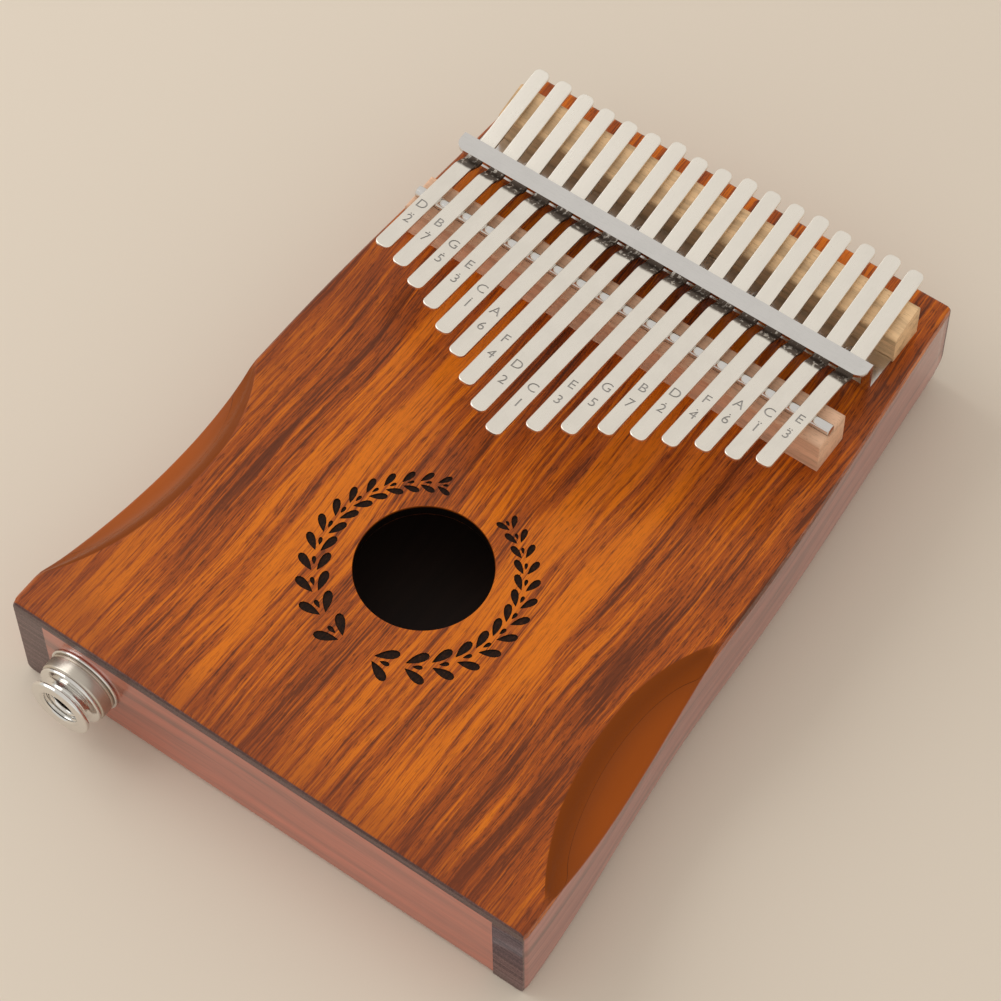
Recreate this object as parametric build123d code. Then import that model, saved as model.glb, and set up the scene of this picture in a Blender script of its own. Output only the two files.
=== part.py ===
"""Seventeen-key box mbira with a clamp bracket, a tuned row of steel tines and an end-pin jack.

Millimetres. Y runs from the tail end (0) towards the head end, X to the right, Z up from the back.
Every piece is moved by MIDDLE_Y when it is written, so that the origin is under the middle of the
whole instrument.
"""
from math import atan, cos, degrees, hypot, radians, sin, tan
import os

from build123d import *

# ---- Sound box ----
BODY_LENGTH = 182.0
BODY_HEIGHT = 30.0
# Half widths along the side: (distance from the tail, half width).
SIDE_STATIONS = [(0.0, 67.7), (35.0, 66.0), (68.0, 63.3), (95.0, 62.6), (145.0, 59.6), (182.0, 57.0)]
TAIL_CORNER_RADIUS = 1.8
HEAD_CORNER_RADIUS = 3.5
SIDE_BACK_RADIUS = 7.0
TOP_EDGE_RADIUS = 1.2
BOARD_THICKNESS = 3.5
BACK_THICKNESS = 3.0
SIDE_THICKNESS = 8.0
END_THICKNESS = 6.0
SOUNDHOLE_Y = 58.0
SOUNDHOLE_RADIUS = 15.4

# ---- Arm scoops on both long edges ----
# Each scoop is cut by a spindle whose axis lies outside the box, above the top edge.
SCOOP_Y = 44.0
SCOOP_HALF_LENGTH = 36.0
SCOOP_RADIUS = 16.0
SCOOP_AXIS_OUTWARD = 5.1
SCOOP_AXIS_LIFT = 7.2
SCOOP_TOOL_LENGTH = 110.0

# ---- Tines ----
# Semitones of each note above the longest tine's, from the left to the right.
TINE_SEMITONES = [26, 23, 19, 16, 12, 9, 5, 2, 0, 4, 7, 11, 14, 17, 21, 24, 28]
TINE_PITCH = 6.3
ROW_SHIFT = -0.9
TINE_WIDTH = 4.05
TINE_THICKNESS = 1.0
TINE_CORNER_RADIUS = 1.5
LONGEST_TONGUE = 46.6
LENGTH_EXPONENT = 0.612
# How far each tine reaches back beyond the bracket's web; the tuner has moved each one a little.
REAR_REACH = [24.5, 24.7, 24.5, 24.0, 24.0, 24.3, 25.4, 24.7, 25.1]
REAR_REACH += [26.1, 26.2, 26.3, 26.7, 26.1, 26.2, 26.9, 26.4]
TONGUE_SLOPE = 0.155
REAR_SLOPE = 0.14
DIP_LENGTH = 4.3
SPLIT_GAP = 0.06

# ---- Bridges, saddle rod and clamp bracket ----
BRIDGE_FRONT_Y = 127.5
BRIDGE_DEPTH = 10.4
BRIDGE_HEIGHT = 10.0
BRIDGE_LENGTH = 112.0
BRIDGE_EDGE_RADIUS = 0.8
ROD_Y = 132.3
ROD_RADIUS = 1.4
ROD_LENGTH = 111.6
ROD_LIFT = 10.4
ROD_CHAMFER = 0.2
REAR_BRIDGE_FRONT_Y = 161.5
REAR_BRIDGE_DEPTH = 10.0
REAR_BRIDGE_LENGTH = 108.5
REAR_BRIDGE_FRONT_HEIGHT = 8.4
REAR_BRIDGE_BACK_HEIGHT = 10.6
REAR_BRIDGE_EDGE_RADIUS = 1.2
BRACKET_LENGTH = 111.0
BRACKET_SHIFT = -1.5
BRACKET_THICKNESS = 1.0
BRACKET_WEB_Y = 151.4
FLANGE_FRONT_Y = 147.8
FLANGE_HEIGHT = 9.8
BASE_REAR_Y = 161.3
WINDOW_WIDTH = 4.9
WINDOW_SILL = 1.8
SCREW_GAPS = [2, 7, 12, 16]
SCREW_Y = 156.8
SCREW_RADIUS = 1.25
SCREW_HEAD_RADIUS = 2.5
SCREW_HEAD_HEIGHT = 1.8
SCREW_HOLE_PLAY = 0.3
SCREW_CROSS = (2.6, 0.6, 1.6)
SCREW_LENGTH = 11.0
BLOCK_DEPTH = 16.0
BLOCK_HEIGHT = 8.0

# ---- End-pin jack, its strap button and the pickup ----
JACK_X = -49.0
JACK_Z = 15.0
PLUG_BORE_RADIUS = 3.25
BARREL_RADIUS = 5.9
BARREL_REAR_Y = 16.0
BARREL_FRONT_Y = -8.0
NOSE_RADIUS = 4.45
WASHER_RADIUS = 9.0
WASHER_THICKNESS = 0.8
COLLAR_RADIUS = 8.5
COLLAR_LENGTH = 4.0
BUTTON_RIM_RADIUS = 7.8
BUTTON_RIM_THICKNESS = 1.3
BUTTON_BASE_THICKNESS = 0.9
BUTTON_NECK_RADIUS = 5.4
BUTTON_LENGTH = 4.6
BUTTON_BORE_RADIUS = 4.5
THREAD_GAP = 0.05
STAR_RADIUS = 8.0
STAR_THICKNESS = 0.6
STAR_TEETH = 12
NUT_RADIUS = 8.0
NUT_THICKNESS = 2.4
INSULATOR_RADIUS = 5.5
INSULATOR_LENGTH = 5.0
SPRING_WIDTH = 3.0
SPRING_THICKNESS = 0.4
LUG_LENGTH = 4.0
LUG_WIDTH = 1.6
PIEZO_Y = 112.0
PIEZO_RADIUS = 10.0
PIEZO_SHEET = 0.3
LEAD_RADIUS = 0.8
LEAD_DROP = 2.0
CLIP_RADIUS = 2.0
CLIP_LENGTH = 3.0

BOARD_UNDERSIDE = BODY_HEIGHT - BOARD_THICKNESS
TINE_COUNT = len(TINE_SEMITONES)
BRACKET_TOP = BODY_HEIGHT + FLANGE_HEIGHT
FLANGE_UNDERSIDE = BRACKET_TOP - BRACKET_THICKNESS
COLLAR_FRONT_Y = -WASHER_THICKNESS - COLLAR_LENGTH
BUTTON_FRONT_Y = COLLAR_FRONT_Y - BUTTON_LENGTH
MIDDLE_Y = (BODY_LENGTH + BUTTON_FRONT_Y) / 2


def write(name, shape):
    """Write one piece, with the origin under the middle of the instrument."""
    export_step(Pos(0, -MIDDLE_Y, 0) * shape, f"parts/{name}.step")


def block(x0, x1, y0, y1, z0, z1):
    """A box between two corners."""
    return Pos((x0 + x1) / 2, (y0 + y1) / 2, (z0 + z1) / 2) * Box(x1 - x0, y1 - y0, z1 - z0)


def half_width(y):
    """Half width of the sound box at a distance from the tail, between the stations."""
    for (y0, w0), (y1, w1) in zip(SIDE_STATIONS, SIDE_STATIONS[1:]):
        if y <= y1:
            return w0 + (w1 - w0) * (y - y0) / (y1 - y0)
    return SIDE_STATIONS[-1][1]


# ---- Sound box ----
def plan_face(inset):
    """Plan of the box, with both side curves moved in by the inset."""
    right = Spline([(width - inset, y) for y, width in SIDE_STATIONS])
    left = mirror(right, about=Plane.YZ)
    tail = Line(left @ 0, right @ 0)
    head = Line(right @ 1, left @ 1)
    return make_face(Curve() + [right, left, tail, head])


def scoop_cutter(side):
    """The spindle that hollows one long edge; side is 1 on the right, -1 on the left."""
    end_radius = hypot(SCOOP_AXIS_OUTWARD, SCOOP_AXIS_LIFT)
    sag = SCOOP_RADIUS - end_radius
    arc_radius = (SCOOP_HALF_LENGTH**2 + sag**2) / (2 * sag)
    start = half_width(SCOOP_Y - SCOOP_HALF_LENGTH)
    end = half_width(SCOOP_Y + SCOOP_HALF_LENGTH)
    lean = degrees(atan((start - end) / (2 * SCOOP_HALF_LENGTH)))
    disc = Pos(SCOOP_RADIUS - arc_radius, 0) * Circle(arc_radius)
    half = Pos(SCOOP_RADIUS / 2, 0) * Rectangle(SCOOP_RADIUS, SCOOP_TOOL_LENGTH)
    spindle = revolve(disc & half, Axis.Y)
    x = (start + end) / 2 + SCOOP_AXIS_OUTWARD
    return Pos(side * x, SCOOP_Y, BODY_HEIGHT + SCOOP_AXIS_LIFT) * Rot(0, 0, side * lean) * spindle


def box_blank():
    """The whole sound box as one solid, with its rounded edges and its two scoops."""
    blank = extrude(plan_face(0), BODY_HEIGHT)
    long_edges = blank.edges().group_by(Axis.Z)[0].filter_by(GeomType.LINE, reverse=True)
    blank = fillet(long_edges, SIDE_BACK_RADIUS)
    for end, radius in ((0, TAIL_CORNER_RADIUS), (-1, HEAD_CORNER_RADIUS)):
        uprights = blank.edges().filter_by(Axis.Z).group_by(Axis.Y)[end]
        blank = fillet(uprights, radius)
    blank = fillet(blank.edges().group_by(Axis.Z)[-1], TOP_EDGE_RADIUS)
    for side in (-1, 1):
        blank -= scoop_cutter(side)
    return blank


def screw_places():
    """Where the bracket's screws stand, in the gaps between neighbouring tines."""
    return [(tine_x(gap) + TINE_PITCH / 2, SCREW_Y) for gap in SCREW_GAPS]


def sound_box():
    """Soundboard, back, two sides, tail panel and head panel."""
    blank = box_blank()
    inner = extrude(plan_face(SIDE_THICKNESS), BOARD_UNDERSIDE)
    far = 2 * BODY_LENGTH

    board = blank & block(-far, far, -far, far, BOARD_UNDERSIDE, BODY_HEIGHT)
    board -= Pos(0, SOUNDHOLE_Y, BODY_HEIGHT) * Cylinder(SOUNDHOLE_RADIUS, 4 * BOARD_THICKNESS)
    for x, y in screw_places():
        board -= Pos(x, y, BODY_HEIGHT) * Cylinder(SCREW_RADIUS + THREAD_GAP, 4 * BOARD_THICKNESS)

    walls = blank & block(-far, far, -far, far, 0, BOARD_UNDERSIDE)
    rims = walls - inner
    between = walls & inner
    tail_panel = between & block(-far, far, -far, END_THICKNESS, 0, far)
    tail_panel -= jack_tube(BARREL_RADIUS + THREAD_GAP, -END_THICKNESS, 2 * END_THICKNESS)
    head_panel = between & block(-far, far, BODY_LENGTH - END_THICKNESS, far, 0, far)
    back = between & block(-far, far, END_THICKNESS, BODY_LENGTH - END_THICKNESS, 0, BACK_THICKNESS)
    return {
        "soundboard": board,
        "back_plate": back,
        "side_left": rims & block(-far, 0, -far, far, 0, far),
        "side_right": rims & block(0, far, -far, far, 0, far),
        "tail_panel": tail_panel,
        "head_panel": head_panel,
    }


# ---- Tines ----
def tine_x(number):
    """Centre of a tine, numbered from 1 on the left."""
    return ROW_SHIFT + (number - (TINE_COUNT + 1) / 2) * TINE_PITCH


def saddle_point():
    """Where every tine's middle line passes nearest to the saddle rod: (y, z)."""
    lift = ROD_RADIUS + TINE_THICKNESS / 2 + THREAD_GAP
    angle = atan(TONGUE_SLOPE)
    return ROD_Y + lift * sin(angle), BODY_HEIGHT + ROD_LIFT + lift * cos(angle)


def tongue_length(number):
    """Free length of a tine in front of the saddle; higher notes are shorter."""
    return LONGEST_TONGUE * 2 ** (-LENGTH_EXPONENT * TINE_SEMITONES[number - 1] / 12)


def split_point():
    """Where the clamped root ends and the free tongue begins, just in front of the rod: (y, z)."""
    saddle_y, saddle_z = saddle_point()
    y = ROD_Y - ROD_RADIUS
    return y, saddle_z + (saddle_y - y) * TONGUE_SLOPE


def strip(middle_line, number):
    """A tine strip of even thickness along a middle line of (y, z) points, as wide as a tine."""
    half = TINE_THICKNESS / 2
    above = [(y, z + half) for y, z in middle_line]
    below = [(y, z - half) for y, z in reversed(middle_line)]
    profile = make_face(Plane.YZ * Polyline(above + below, close=True))
    return Pos(tine_x(number), 0, 0) * extrude(profile, TINE_WIDTH / 2, both=True)


def round_end(solid, rear):
    """Round the two upright corners at a strip's rear or front end."""
    ends = solid.faces().sort_by(Axis.Y)
    end = ends[-1] if rear else ends[0]
    return fillet(end.edges().filter_by(Axis.Z), TINE_CORNER_RADIUS)


def tine_root(number):
    """The clamped part: straight over the rod, dipped under the flange, rising to the rear."""
    split_y, split_z = split_point()
    pressed_z = FLANGE_UNDERSIDE - THREAD_GAP - TINE_THICKNESS / 2
    web_rear = BRACKET_WEB_Y + BRACKET_THICKNESS
    reach = REAR_REACH[number - 1]
    dip_y = FLANGE_FRONT_Y - DIP_LENGTH
    middle_line = [
        (split_y + SPLIT_GAP / 2, split_z),
        (dip_y, split_z - (dip_y - split_y) * TONGUE_SLOPE),
        (FLANGE_FRONT_Y - BRACKET_THICKNESS / 2, pressed_z),
        (web_rear, pressed_z),
        (BRACKET_WEB_Y + reach, pressed_z + reach * REAR_SLOPE),
    ]
    return round_end(strip(middle_line, number), rear=True)


def tine_tongue(number):
    """The free part that is plucked, rising towards its rounded tip."""
    split_y, split_z = split_point()
    length = tongue_length(number)
    middle_line = [
        (split_y - length, split_z + length * TONGUE_SLOPE),
        (split_y - SPLIT_GAP / 2, split_z),
    ]
    return round_end(strip(middle_line, number), rear=False)


# ---- Bridges, rod, bracket and screws ----
def front_bridge():
    """Hardwood bar with a groove for the saddle rod."""
    half = BRIDGE_LENGTH / 2
    top = BODY_HEIGHT + BRIDGE_HEIGHT
    bar = block(-half, half, BRIDGE_FRONT_Y, BRIDGE_FRONT_Y + BRIDGE_DEPTH, BODY_HEIGHT, top)
    bar = fillet(bar.edges().group_by(Axis.Z)[-1], BRIDGE_EDGE_RADIUS)
    return bar - rod_shape(ROD_RADIUS + THREAD_GAP, BRIDGE_LENGTH + 2)


def rod_shape(radius, length):
    """A round bar along the saddle line."""
    return Pos(0, ROD_Y, BODY_HEIGHT + ROD_LIFT) * Rot(0, 90, 0) * Cylinder(radius, length)


def saddle_rod():
    """Polished steel rod with broken edges."""
    rod = rod_shape(ROD_RADIUS, ROD_LENGTH)
    return chamfer(rod.edges().filter_by(GeomType.CIRCLE), ROD_CHAMFER)


def rear_bridge():
    """Hardwood bar whose top slopes up to the edge that carries the tines' rear ends."""
    back_y = REAR_BRIDGE_FRONT_Y + REAR_BRIDGE_DEPTH
    profile = Polyline(
        (REAR_BRIDGE_FRONT_Y, BODY_HEIGHT),
        (back_y, BODY_HEIGHT),
        (back_y, BODY_HEIGHT + REAR_BRIDGE_BACK_HEIGHT),
        (REAR_BRIDGE_FRONT_Y, BODY_HEIGHT + REAR_BRIDGE_FRONT_HEIGHT),
        close=True,
    )
    bar = extrude(make_face(Plane.YZ * profile), REAR_BRIDGE_LENGTH / 2, both=True)
    upper = bar.edges().filter_by(Axis.X).sort_by(Axis.Z)[-2:]
    return fillet(upper, REAR_BRIDGE_EDGE_RADIUS)


def clamp_bracket():
    """Z-section bracket: flange over the tines, windowed web and a screwed base."""
    left = BRACKET_SHIFT - BRACKET_LENGTH / 2
    right = BRACKET_SHIFT + BRACKET_LENGTH / 2
    web_rear = BRACKET_WEB_Y + BRACKET_THICKNESS
    base_top = BODY_HEIGHT + BRACKET_THICKNESS
    flange = block(left, right, FLANGE_FRONT_Y, web_rear, FLANGE_UNDERSIDE, BRACKET_TOP)
    front_corners = flange.edges().filter_by(Axis.Z).group_by(Axis.Y)[0]
    flange = fillet(front_corners, 0.6 * (web_rear - FLANGE_FRONT_Y))
    bracket = flange + block(left, right, BRACKET_WEB_Y, web_rear, BODY_HEIGHT, BRACKET_TOP)
    bracket += block(left, right, BRACKET_WEB_Y, BASE_REAR_Y, BODY_HEIGHT, base_top)
    sill = BODY_HEIGHT + WINDOW_SILL
    for number in range(1, TINE_COUNT + 1):
        x0 = tine_x(number) - WINDOW_WIDTH / 2
        x1 = tine_x(number) + WINDOW_WIDTH / 2
        bracket -= block(x0, x1, BRACKET_WEB_Y - 0.5, web_rear + 0.5, sill, FLANGE_UNDERSIDE)
    for x, y in screw_places():
        bracket -= Pos(x, y, base_top) * Cylinder(SCREW_RADIUS + SCREW_HOLE_PLAY, 4 * BRACKET_THICKNESS)
    return bracket


def bracket_screw(x, y):
    """Pan-head screw with a cross recess."""
    seat = BODY_HEIGHT + BRACKET_THICKNESS
    crown = seat + SCREW_HEAD_HEIGHT
    head = Pos(x, y, (seat + crown) / 2) * Cylinder(SCREW_HEAD_RADIUS, SCREW_HEAD_HEIGHT)
    head = fillet(head.edges().group_by(Axis.Z)[-1], 0.8)
    for turn in (0, 90):
        head -= Pos(x, y, crown) * Rot(0, 0, turn) * Box(*SCREW_CROSS)
    shank = Pos(x, y, seat - SCREW_LENGTH / 2) * Cylinder(SCREW_RADIUS, SCREW_LENGTH)
    shank = chamfer(shank.edges().group_by(Axis.Z)[0], 0.8)
    return head + shank


def screw_block():
    """Block glued under the soundboard that takes the bracket's screws."""
    y0 = SCREW_Y - BLOCK_DEPTH / 2
    inner = extrude(plan_face(SIDE_THICKNESS), BOARD_UNDERSIDE)
    reach = BODY_LENGTH
    underside = BOARD_UNDERSIDE - BLOCK_HEIGHT
    wood = inner & block(-reach, reach, y0, y0 + BLOCK_DEPTH, underside, BOARD_UNDERSIDE)
    for x, y in screw_places():
        wood -= Pos(x, y, BOARD_UNDERSIDE) * Cylinder(SCREW_RADIUS + THREAD_GAP, 4 * BLOCK_HEIGHT)
    return wood


# ---- Jack, strap button and pickup ----
def jack_tube(radius, y0, y1):
    """A round bar on the jack's axis."""
    return Pos(JACK_X, (y0 + y1) / 2, JACK_Z) * Rot(90, 0, 0) * Cylinder(radius, y1 - y0)


def jack_ring(outer, inner, y0, y1):
    """A ring on the jack's axis."""
    return jack_tube(outer, y0, y1) - jack_tube(inner, y0 - 1, y1 + 1)


def jack_pieces():
    """Barrel, washer, collar nut, strap button, inner star washer, hex nut and insulator."""
    barrel = jack_tube(BARREL_RADIUS, COLLAR_FRONT_Y, BARREL_REAR_Y)
    barrel += jack_tube(NOSE_RADIUS, BARREL_FRONT_Y, COLLAR_FRONT_Y)
    barrel -= jack_tube(PLUG_BORE_RADIUS, BARREL_FRONT_Y - 1, BARREL_REAR_Y + 1)
    loose = BARREL_RADIUS + THREAD_GAP

    washer = jack_ring(WASHER_RADIUS, loose, -WASHER_THICKNESS, 0)
    collar = jack_tube(COLLAR_RADIUS, COLLAR_FRONT_Y, -WASHER_THICKNESS)
    collar = chamfer(collar.edges().filter_by(GeomType.CIRCLE), 0.3)
    collar -= jack_tube(loose, COLLAR_FRONT_Y - 1, 1)

    rim_rear = COLLAR_FRONT_Y - BUTTON_BASE_THICKNESS
    lip_rear = BUTTON_FRONT_Y + BUTTON_RIM_THICKNESS
    button = jack_tube(COLLAR_RADIUS - 0.2, rim_rear, COLLAR_FRONT_Y)
    button += jack_tube(BUTTON_NECK_RADIUS, lip_rear, rim_rear)
    button += jack_tube(BUTTON_RIM_RADIUS, BUTTON_FRONT_Y, lip_rear)
    button -= jack_tube(BUTTON_BORE_RADIUS, BUTTON_FRONT_Y - 1, 1)

    star_rear = END_THICKNESS + STAR_THICKNESS
    nut_rear = star_rear + NUT_THICKNESS
    star = jack_ring(STAR_RADIUS, loose, END_THICKNESS, star_rear)
    for tooth in range(STAR_TEETH):
        turn = 360 / STAR_TEETH * tooth
        spoke = Pos(JACK_X, (END_THICKNESS + star_rear) / 2, JACK_Z) * Rot(0, turn, 0)
        star -= spoke * Pos(STAR_RADIUS, 0, 0) * Box(STAR_RADIUS / 4, 2, STAR_RADIUS / 7)
    hexagon = Plane.XZ * RegularPolygon(NUT_RADIUS, 6)
    nut = Pos(JACK_X, nut_rear, JACK_Z) * extrude(hexagon, NUT_THICKNESS)
    nut -= jack_tube(loose, star_rear - 1, nut_rear + 1)

    insulator_rear = BARREL_REAR_Y + INSULATOR_LENGTH
    insulator = jack_ring(INSULATOR_RADIUS, PLUG_BORE_RADIUS + 0.3, BARREL_REAR_Y, insulator_rear)
    return {
        "jack_barrel": barrel,
        "jack_washer": washer,
        "jack_collar_nut": collar,
        "strap_button": button,
        "jack_star_washer": star,
        "jack_inner_nut": nut,
        "jack_insulator": insulator,
    }


def tip_spring():
    """Leaf contact behind the insulator, bent in towards the plug's tip."""
    y0 = BARREL_REAR_Y + INSULATOR_LENGTH + 0.1
    z0 = JACK_Z + INSULATOR_RADIUS - 0.6
    bend = JACK_Z + PLUG_BORE_RADIUS + 0.5
    line = [(y0, z0), (y0 + 5.0, z0 + 0.4), (y0 + 8.0, bend), (y0 + 10.0, z0)]
    above = [(y, z + SPRING_THICKNESS / 2) for y, z in line]
    below = [(y, z - SPRING_THICKNESS / 2) for y, z in reversed(line)]
    profile = make_face(Plane.YZ * Polyline(above + below, close=True))
    return Pos(JACK_X, 0, 0) * extrude(profile, SPRING_WIDTH / 2, both=True)


def solder_lugs():
    """Two terminals under the insulator, one for each conductor of the lead."""
    y0 = BARREL_REAR_Y + INSULATOR_LENGTH
    z0 = JACK_Z - INSULATOR_RADIUS
    lugs = []
    half = LUG_WIDTH / 2
    for x in (JACK_X - LUG_WIDTH - 1.0, JACK_X):
        lugs.append(block(x - half, x + half, y0, y0 + LUG_LENGTH, z0 + 0.5, z0 + 1.1))
    return Compound(lugs)


def piezo_disc():
    """Brass pickup disc with its ceramic and a solder boss, under the soundboard."""
    first = BOARD_UNDERSIDE - PIEZO_SHEET / 2
    brass = Pos(0, PIEZO_Y, first) * Cylinder(PIEZO_RADIUS, PIEZO_SHEET)
    ceramic = Pos(0, PIEZO_Y, first - PIEZO_SHEET) * Cylinder(0.7 * PIEZO_RADIUS, PIEZO_SHEET)
    boss = block(-6.0, -3.0, PIEZO_Y - 1.5, PIEZO_Y + 1.5, lead_height() - 1.0, BOARD_UNDERSIDE - 0.5)
    return brass + ceramic + boss


def lead_height():
    """Height of the lead where its clips hold it to the soundboard."""
    return BOARD_UNDERSIDE - LEAD_DROP


def lead_route():
    """Corners of the lead's path from the jack's lug to the pickup disc."""
    lug_y = BARREL_REAR_Y + INSULATOR_LENGTH + LUG_LENGTH
    lug_z = JACK_Z - INSULATOR_RADIUS + 0.8
    high = lead_height()
    return [
        (JACK_X, lug_y, lug_z),
        (JACK_X, lug_y + 22.0, lug_z),
        (JACK_X + 5.0, lug_y + 44.0, lug_z + 9.0),
        (JACK_X + 13.0, lug_y + 64.0, high),
        (JACK_X + 22.0, PIEZO_Y, high),
        (-6.0, PIEZO_Y, high),
    ]


def lead_radii(route):
    """Bend radius at each corner, as large as its two runs allow."""
    radii = []
    for before, corner, after in zip(route, route[1:], route[2:]):
        first = Vector(*corner) - Vector(*before)
        second = Vector(*after) - Vector(*corner)
        half_turn = first.get_angle(second) / 2
        shorter = min(first.length, second.length)
        radii.append(0.45 * shorter / tan(radians(half_turn)))
    return radii


def pickup_lead():
    """Screened lead along its route."""
    route = lead_route()
    radii = lead_radii(route)
    path = FilletPolyline(*route, radius=radii)
    section = Plane(origin=path @ 0, z_dir=path % 0) * Circle(LEAD_RADIUS)
    lead = sweep(section, path)
    print("lead radii", [round(r, 1) for r in radii], "length", round(path.length, 2))
    return lead


def lead_clips():
    """Two clips that hold the lead under the soundboard, one on each level run."""
    route = lead_route()
    bore = Cylinder(LEAD_RADIUS + THREAD_GAP, 2 * CLIP_LENGTH)
    clips = []
    for start, end in ((route[3], route[4]), (route[4], route[5])):
        middle = (Vector(*start) + Vector(*end)) / 2
        along = Plane(origin=middle, z_dir=Vector(*end) - Vector(*start))
        clips.append(along * (Cylinder(CLIP_RADIUS, CLIP_LENGTH) - bore))
    return Compound(clips)


def build():
    """Make and write every piece."""
    os.makedirs("parts", exist_ok=True)
    pieces = sound_box()
    pieces["front_bridge"] = front_bridge()
    pieces["saddle_rod"] = saddle_rod()
    pieces["rear_bridge"] = rear_bridge()
    pieces["clamp_bracket"] = clamp_bracket()
    pieces["bracket_screws"] = Compound([bracket_screw(x, y) for x, y in screw_places()])
    pieces["screw_block"] = screw_block()
    for number in range(1, TINE_COUNT + 1):
        pieces[f"tine_root_{number:02d}"] = tine_root(number)
        pieces[f"tine_tongue_{number:02d}"] = tine_tongue(number)
    pieces.update(jack_pieces())
    pieces["jack_tip_spring"] = tip_spring()
    pieces["solder_lugs"] = solder_lugs()
    pieces["piezo_disc"] = piezo_disc()
    pieces["pickup_lead"] = pickup_lead()
    pieces["lead_clips"] = lead_clips()
    for name, shape in pieces.items():
        write(name, shape)
    return pieces


build()
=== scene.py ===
"""Seventeen-key box mbira with an end-pin jack: the visual model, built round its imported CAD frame.

Shapes are worked out in millimetres and scaled to the frame's metres when a piece is finished.
Y runs from the tail, where the jack is, to the head, X to the right and Z up from the back.
"""
from bisect import bisect_right
import math

import bmesh
import bpy
from bpy.props import FloatProperty, FloatVectorProperty, IntProperty, PointerProperty
from mathutils import Matrix, Vector


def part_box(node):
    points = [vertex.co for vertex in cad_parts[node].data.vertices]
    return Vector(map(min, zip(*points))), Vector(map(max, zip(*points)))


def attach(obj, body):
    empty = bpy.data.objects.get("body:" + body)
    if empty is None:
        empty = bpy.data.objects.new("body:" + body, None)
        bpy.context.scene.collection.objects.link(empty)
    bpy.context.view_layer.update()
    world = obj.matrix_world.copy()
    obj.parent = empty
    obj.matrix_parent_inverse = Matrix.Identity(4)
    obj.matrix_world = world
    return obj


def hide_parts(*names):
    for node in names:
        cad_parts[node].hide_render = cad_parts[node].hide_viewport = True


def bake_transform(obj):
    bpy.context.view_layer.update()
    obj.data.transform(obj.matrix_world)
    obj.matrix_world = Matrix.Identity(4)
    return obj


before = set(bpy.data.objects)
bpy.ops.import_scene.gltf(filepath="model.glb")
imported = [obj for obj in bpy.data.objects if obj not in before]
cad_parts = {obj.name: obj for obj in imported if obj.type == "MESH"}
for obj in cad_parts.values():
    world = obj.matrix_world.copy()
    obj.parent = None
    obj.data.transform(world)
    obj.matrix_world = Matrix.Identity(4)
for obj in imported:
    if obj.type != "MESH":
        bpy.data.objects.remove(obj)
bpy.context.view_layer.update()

bl_info = {
    "name": "Box mbira",
    "version": (1, 0, 0),
    "blender": (4, 5, 0),
    "location": "View3D > Sidebar > Mbira",
    "description": "Builds a seventeen-key box mbira round its packed CAD frame",
    "category": "Object",
}

MM = 0.001
TINE_COUNT = sum(name.startswith("tine_tongue_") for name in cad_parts)


def span(node):
    """Lowest and highest corners of a CAD node, in millimetres."""
    low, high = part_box(node)
    return low / MM, high / MM


BOARD_LOW, BOARD_HIGH = span("soundboard")
TOP = BOARD_HIGH.z
UNDERSIDE = BOARD_LOW.z
TAIL = BOARD_LOW.y
HEAD = BOARD_HIGH.y
BACK_INNER = span("back_plate")[1].z
SIDE_INNER_TAIL = abs(span("tail_panel")[1].x)


def rgb(red, green, blue):
    """A colour given as display values from 0 to 255, as the linear numbers that shaders use."""
    parts = [value / 255 for value in (red, green, blue)]
    return tuple(p / 12.92 if p <= 0.04045 else ((p + 0.055) / 1.055) ** 2.4 for p in parts)


# ---- Settings ----
def length(name, default, description):
    """A size in millimetres."""
    return FloatProperty(name=name, description=description + ", in millimetres", default=default)


def paint(name, default, description):
    """A colour."""
    return FloatVectorProperty(
        name=name, description=description, default=default, size=3, min=0.0, max=1.0, subtype="COLOR"
    )


def position(name, default, description):
    """A place in metres."""
    return FloatVectorProperty(
        name=name, description=description, default=default, size=3, subtype="XYZ", unit="LENGTH"
    )


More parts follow.
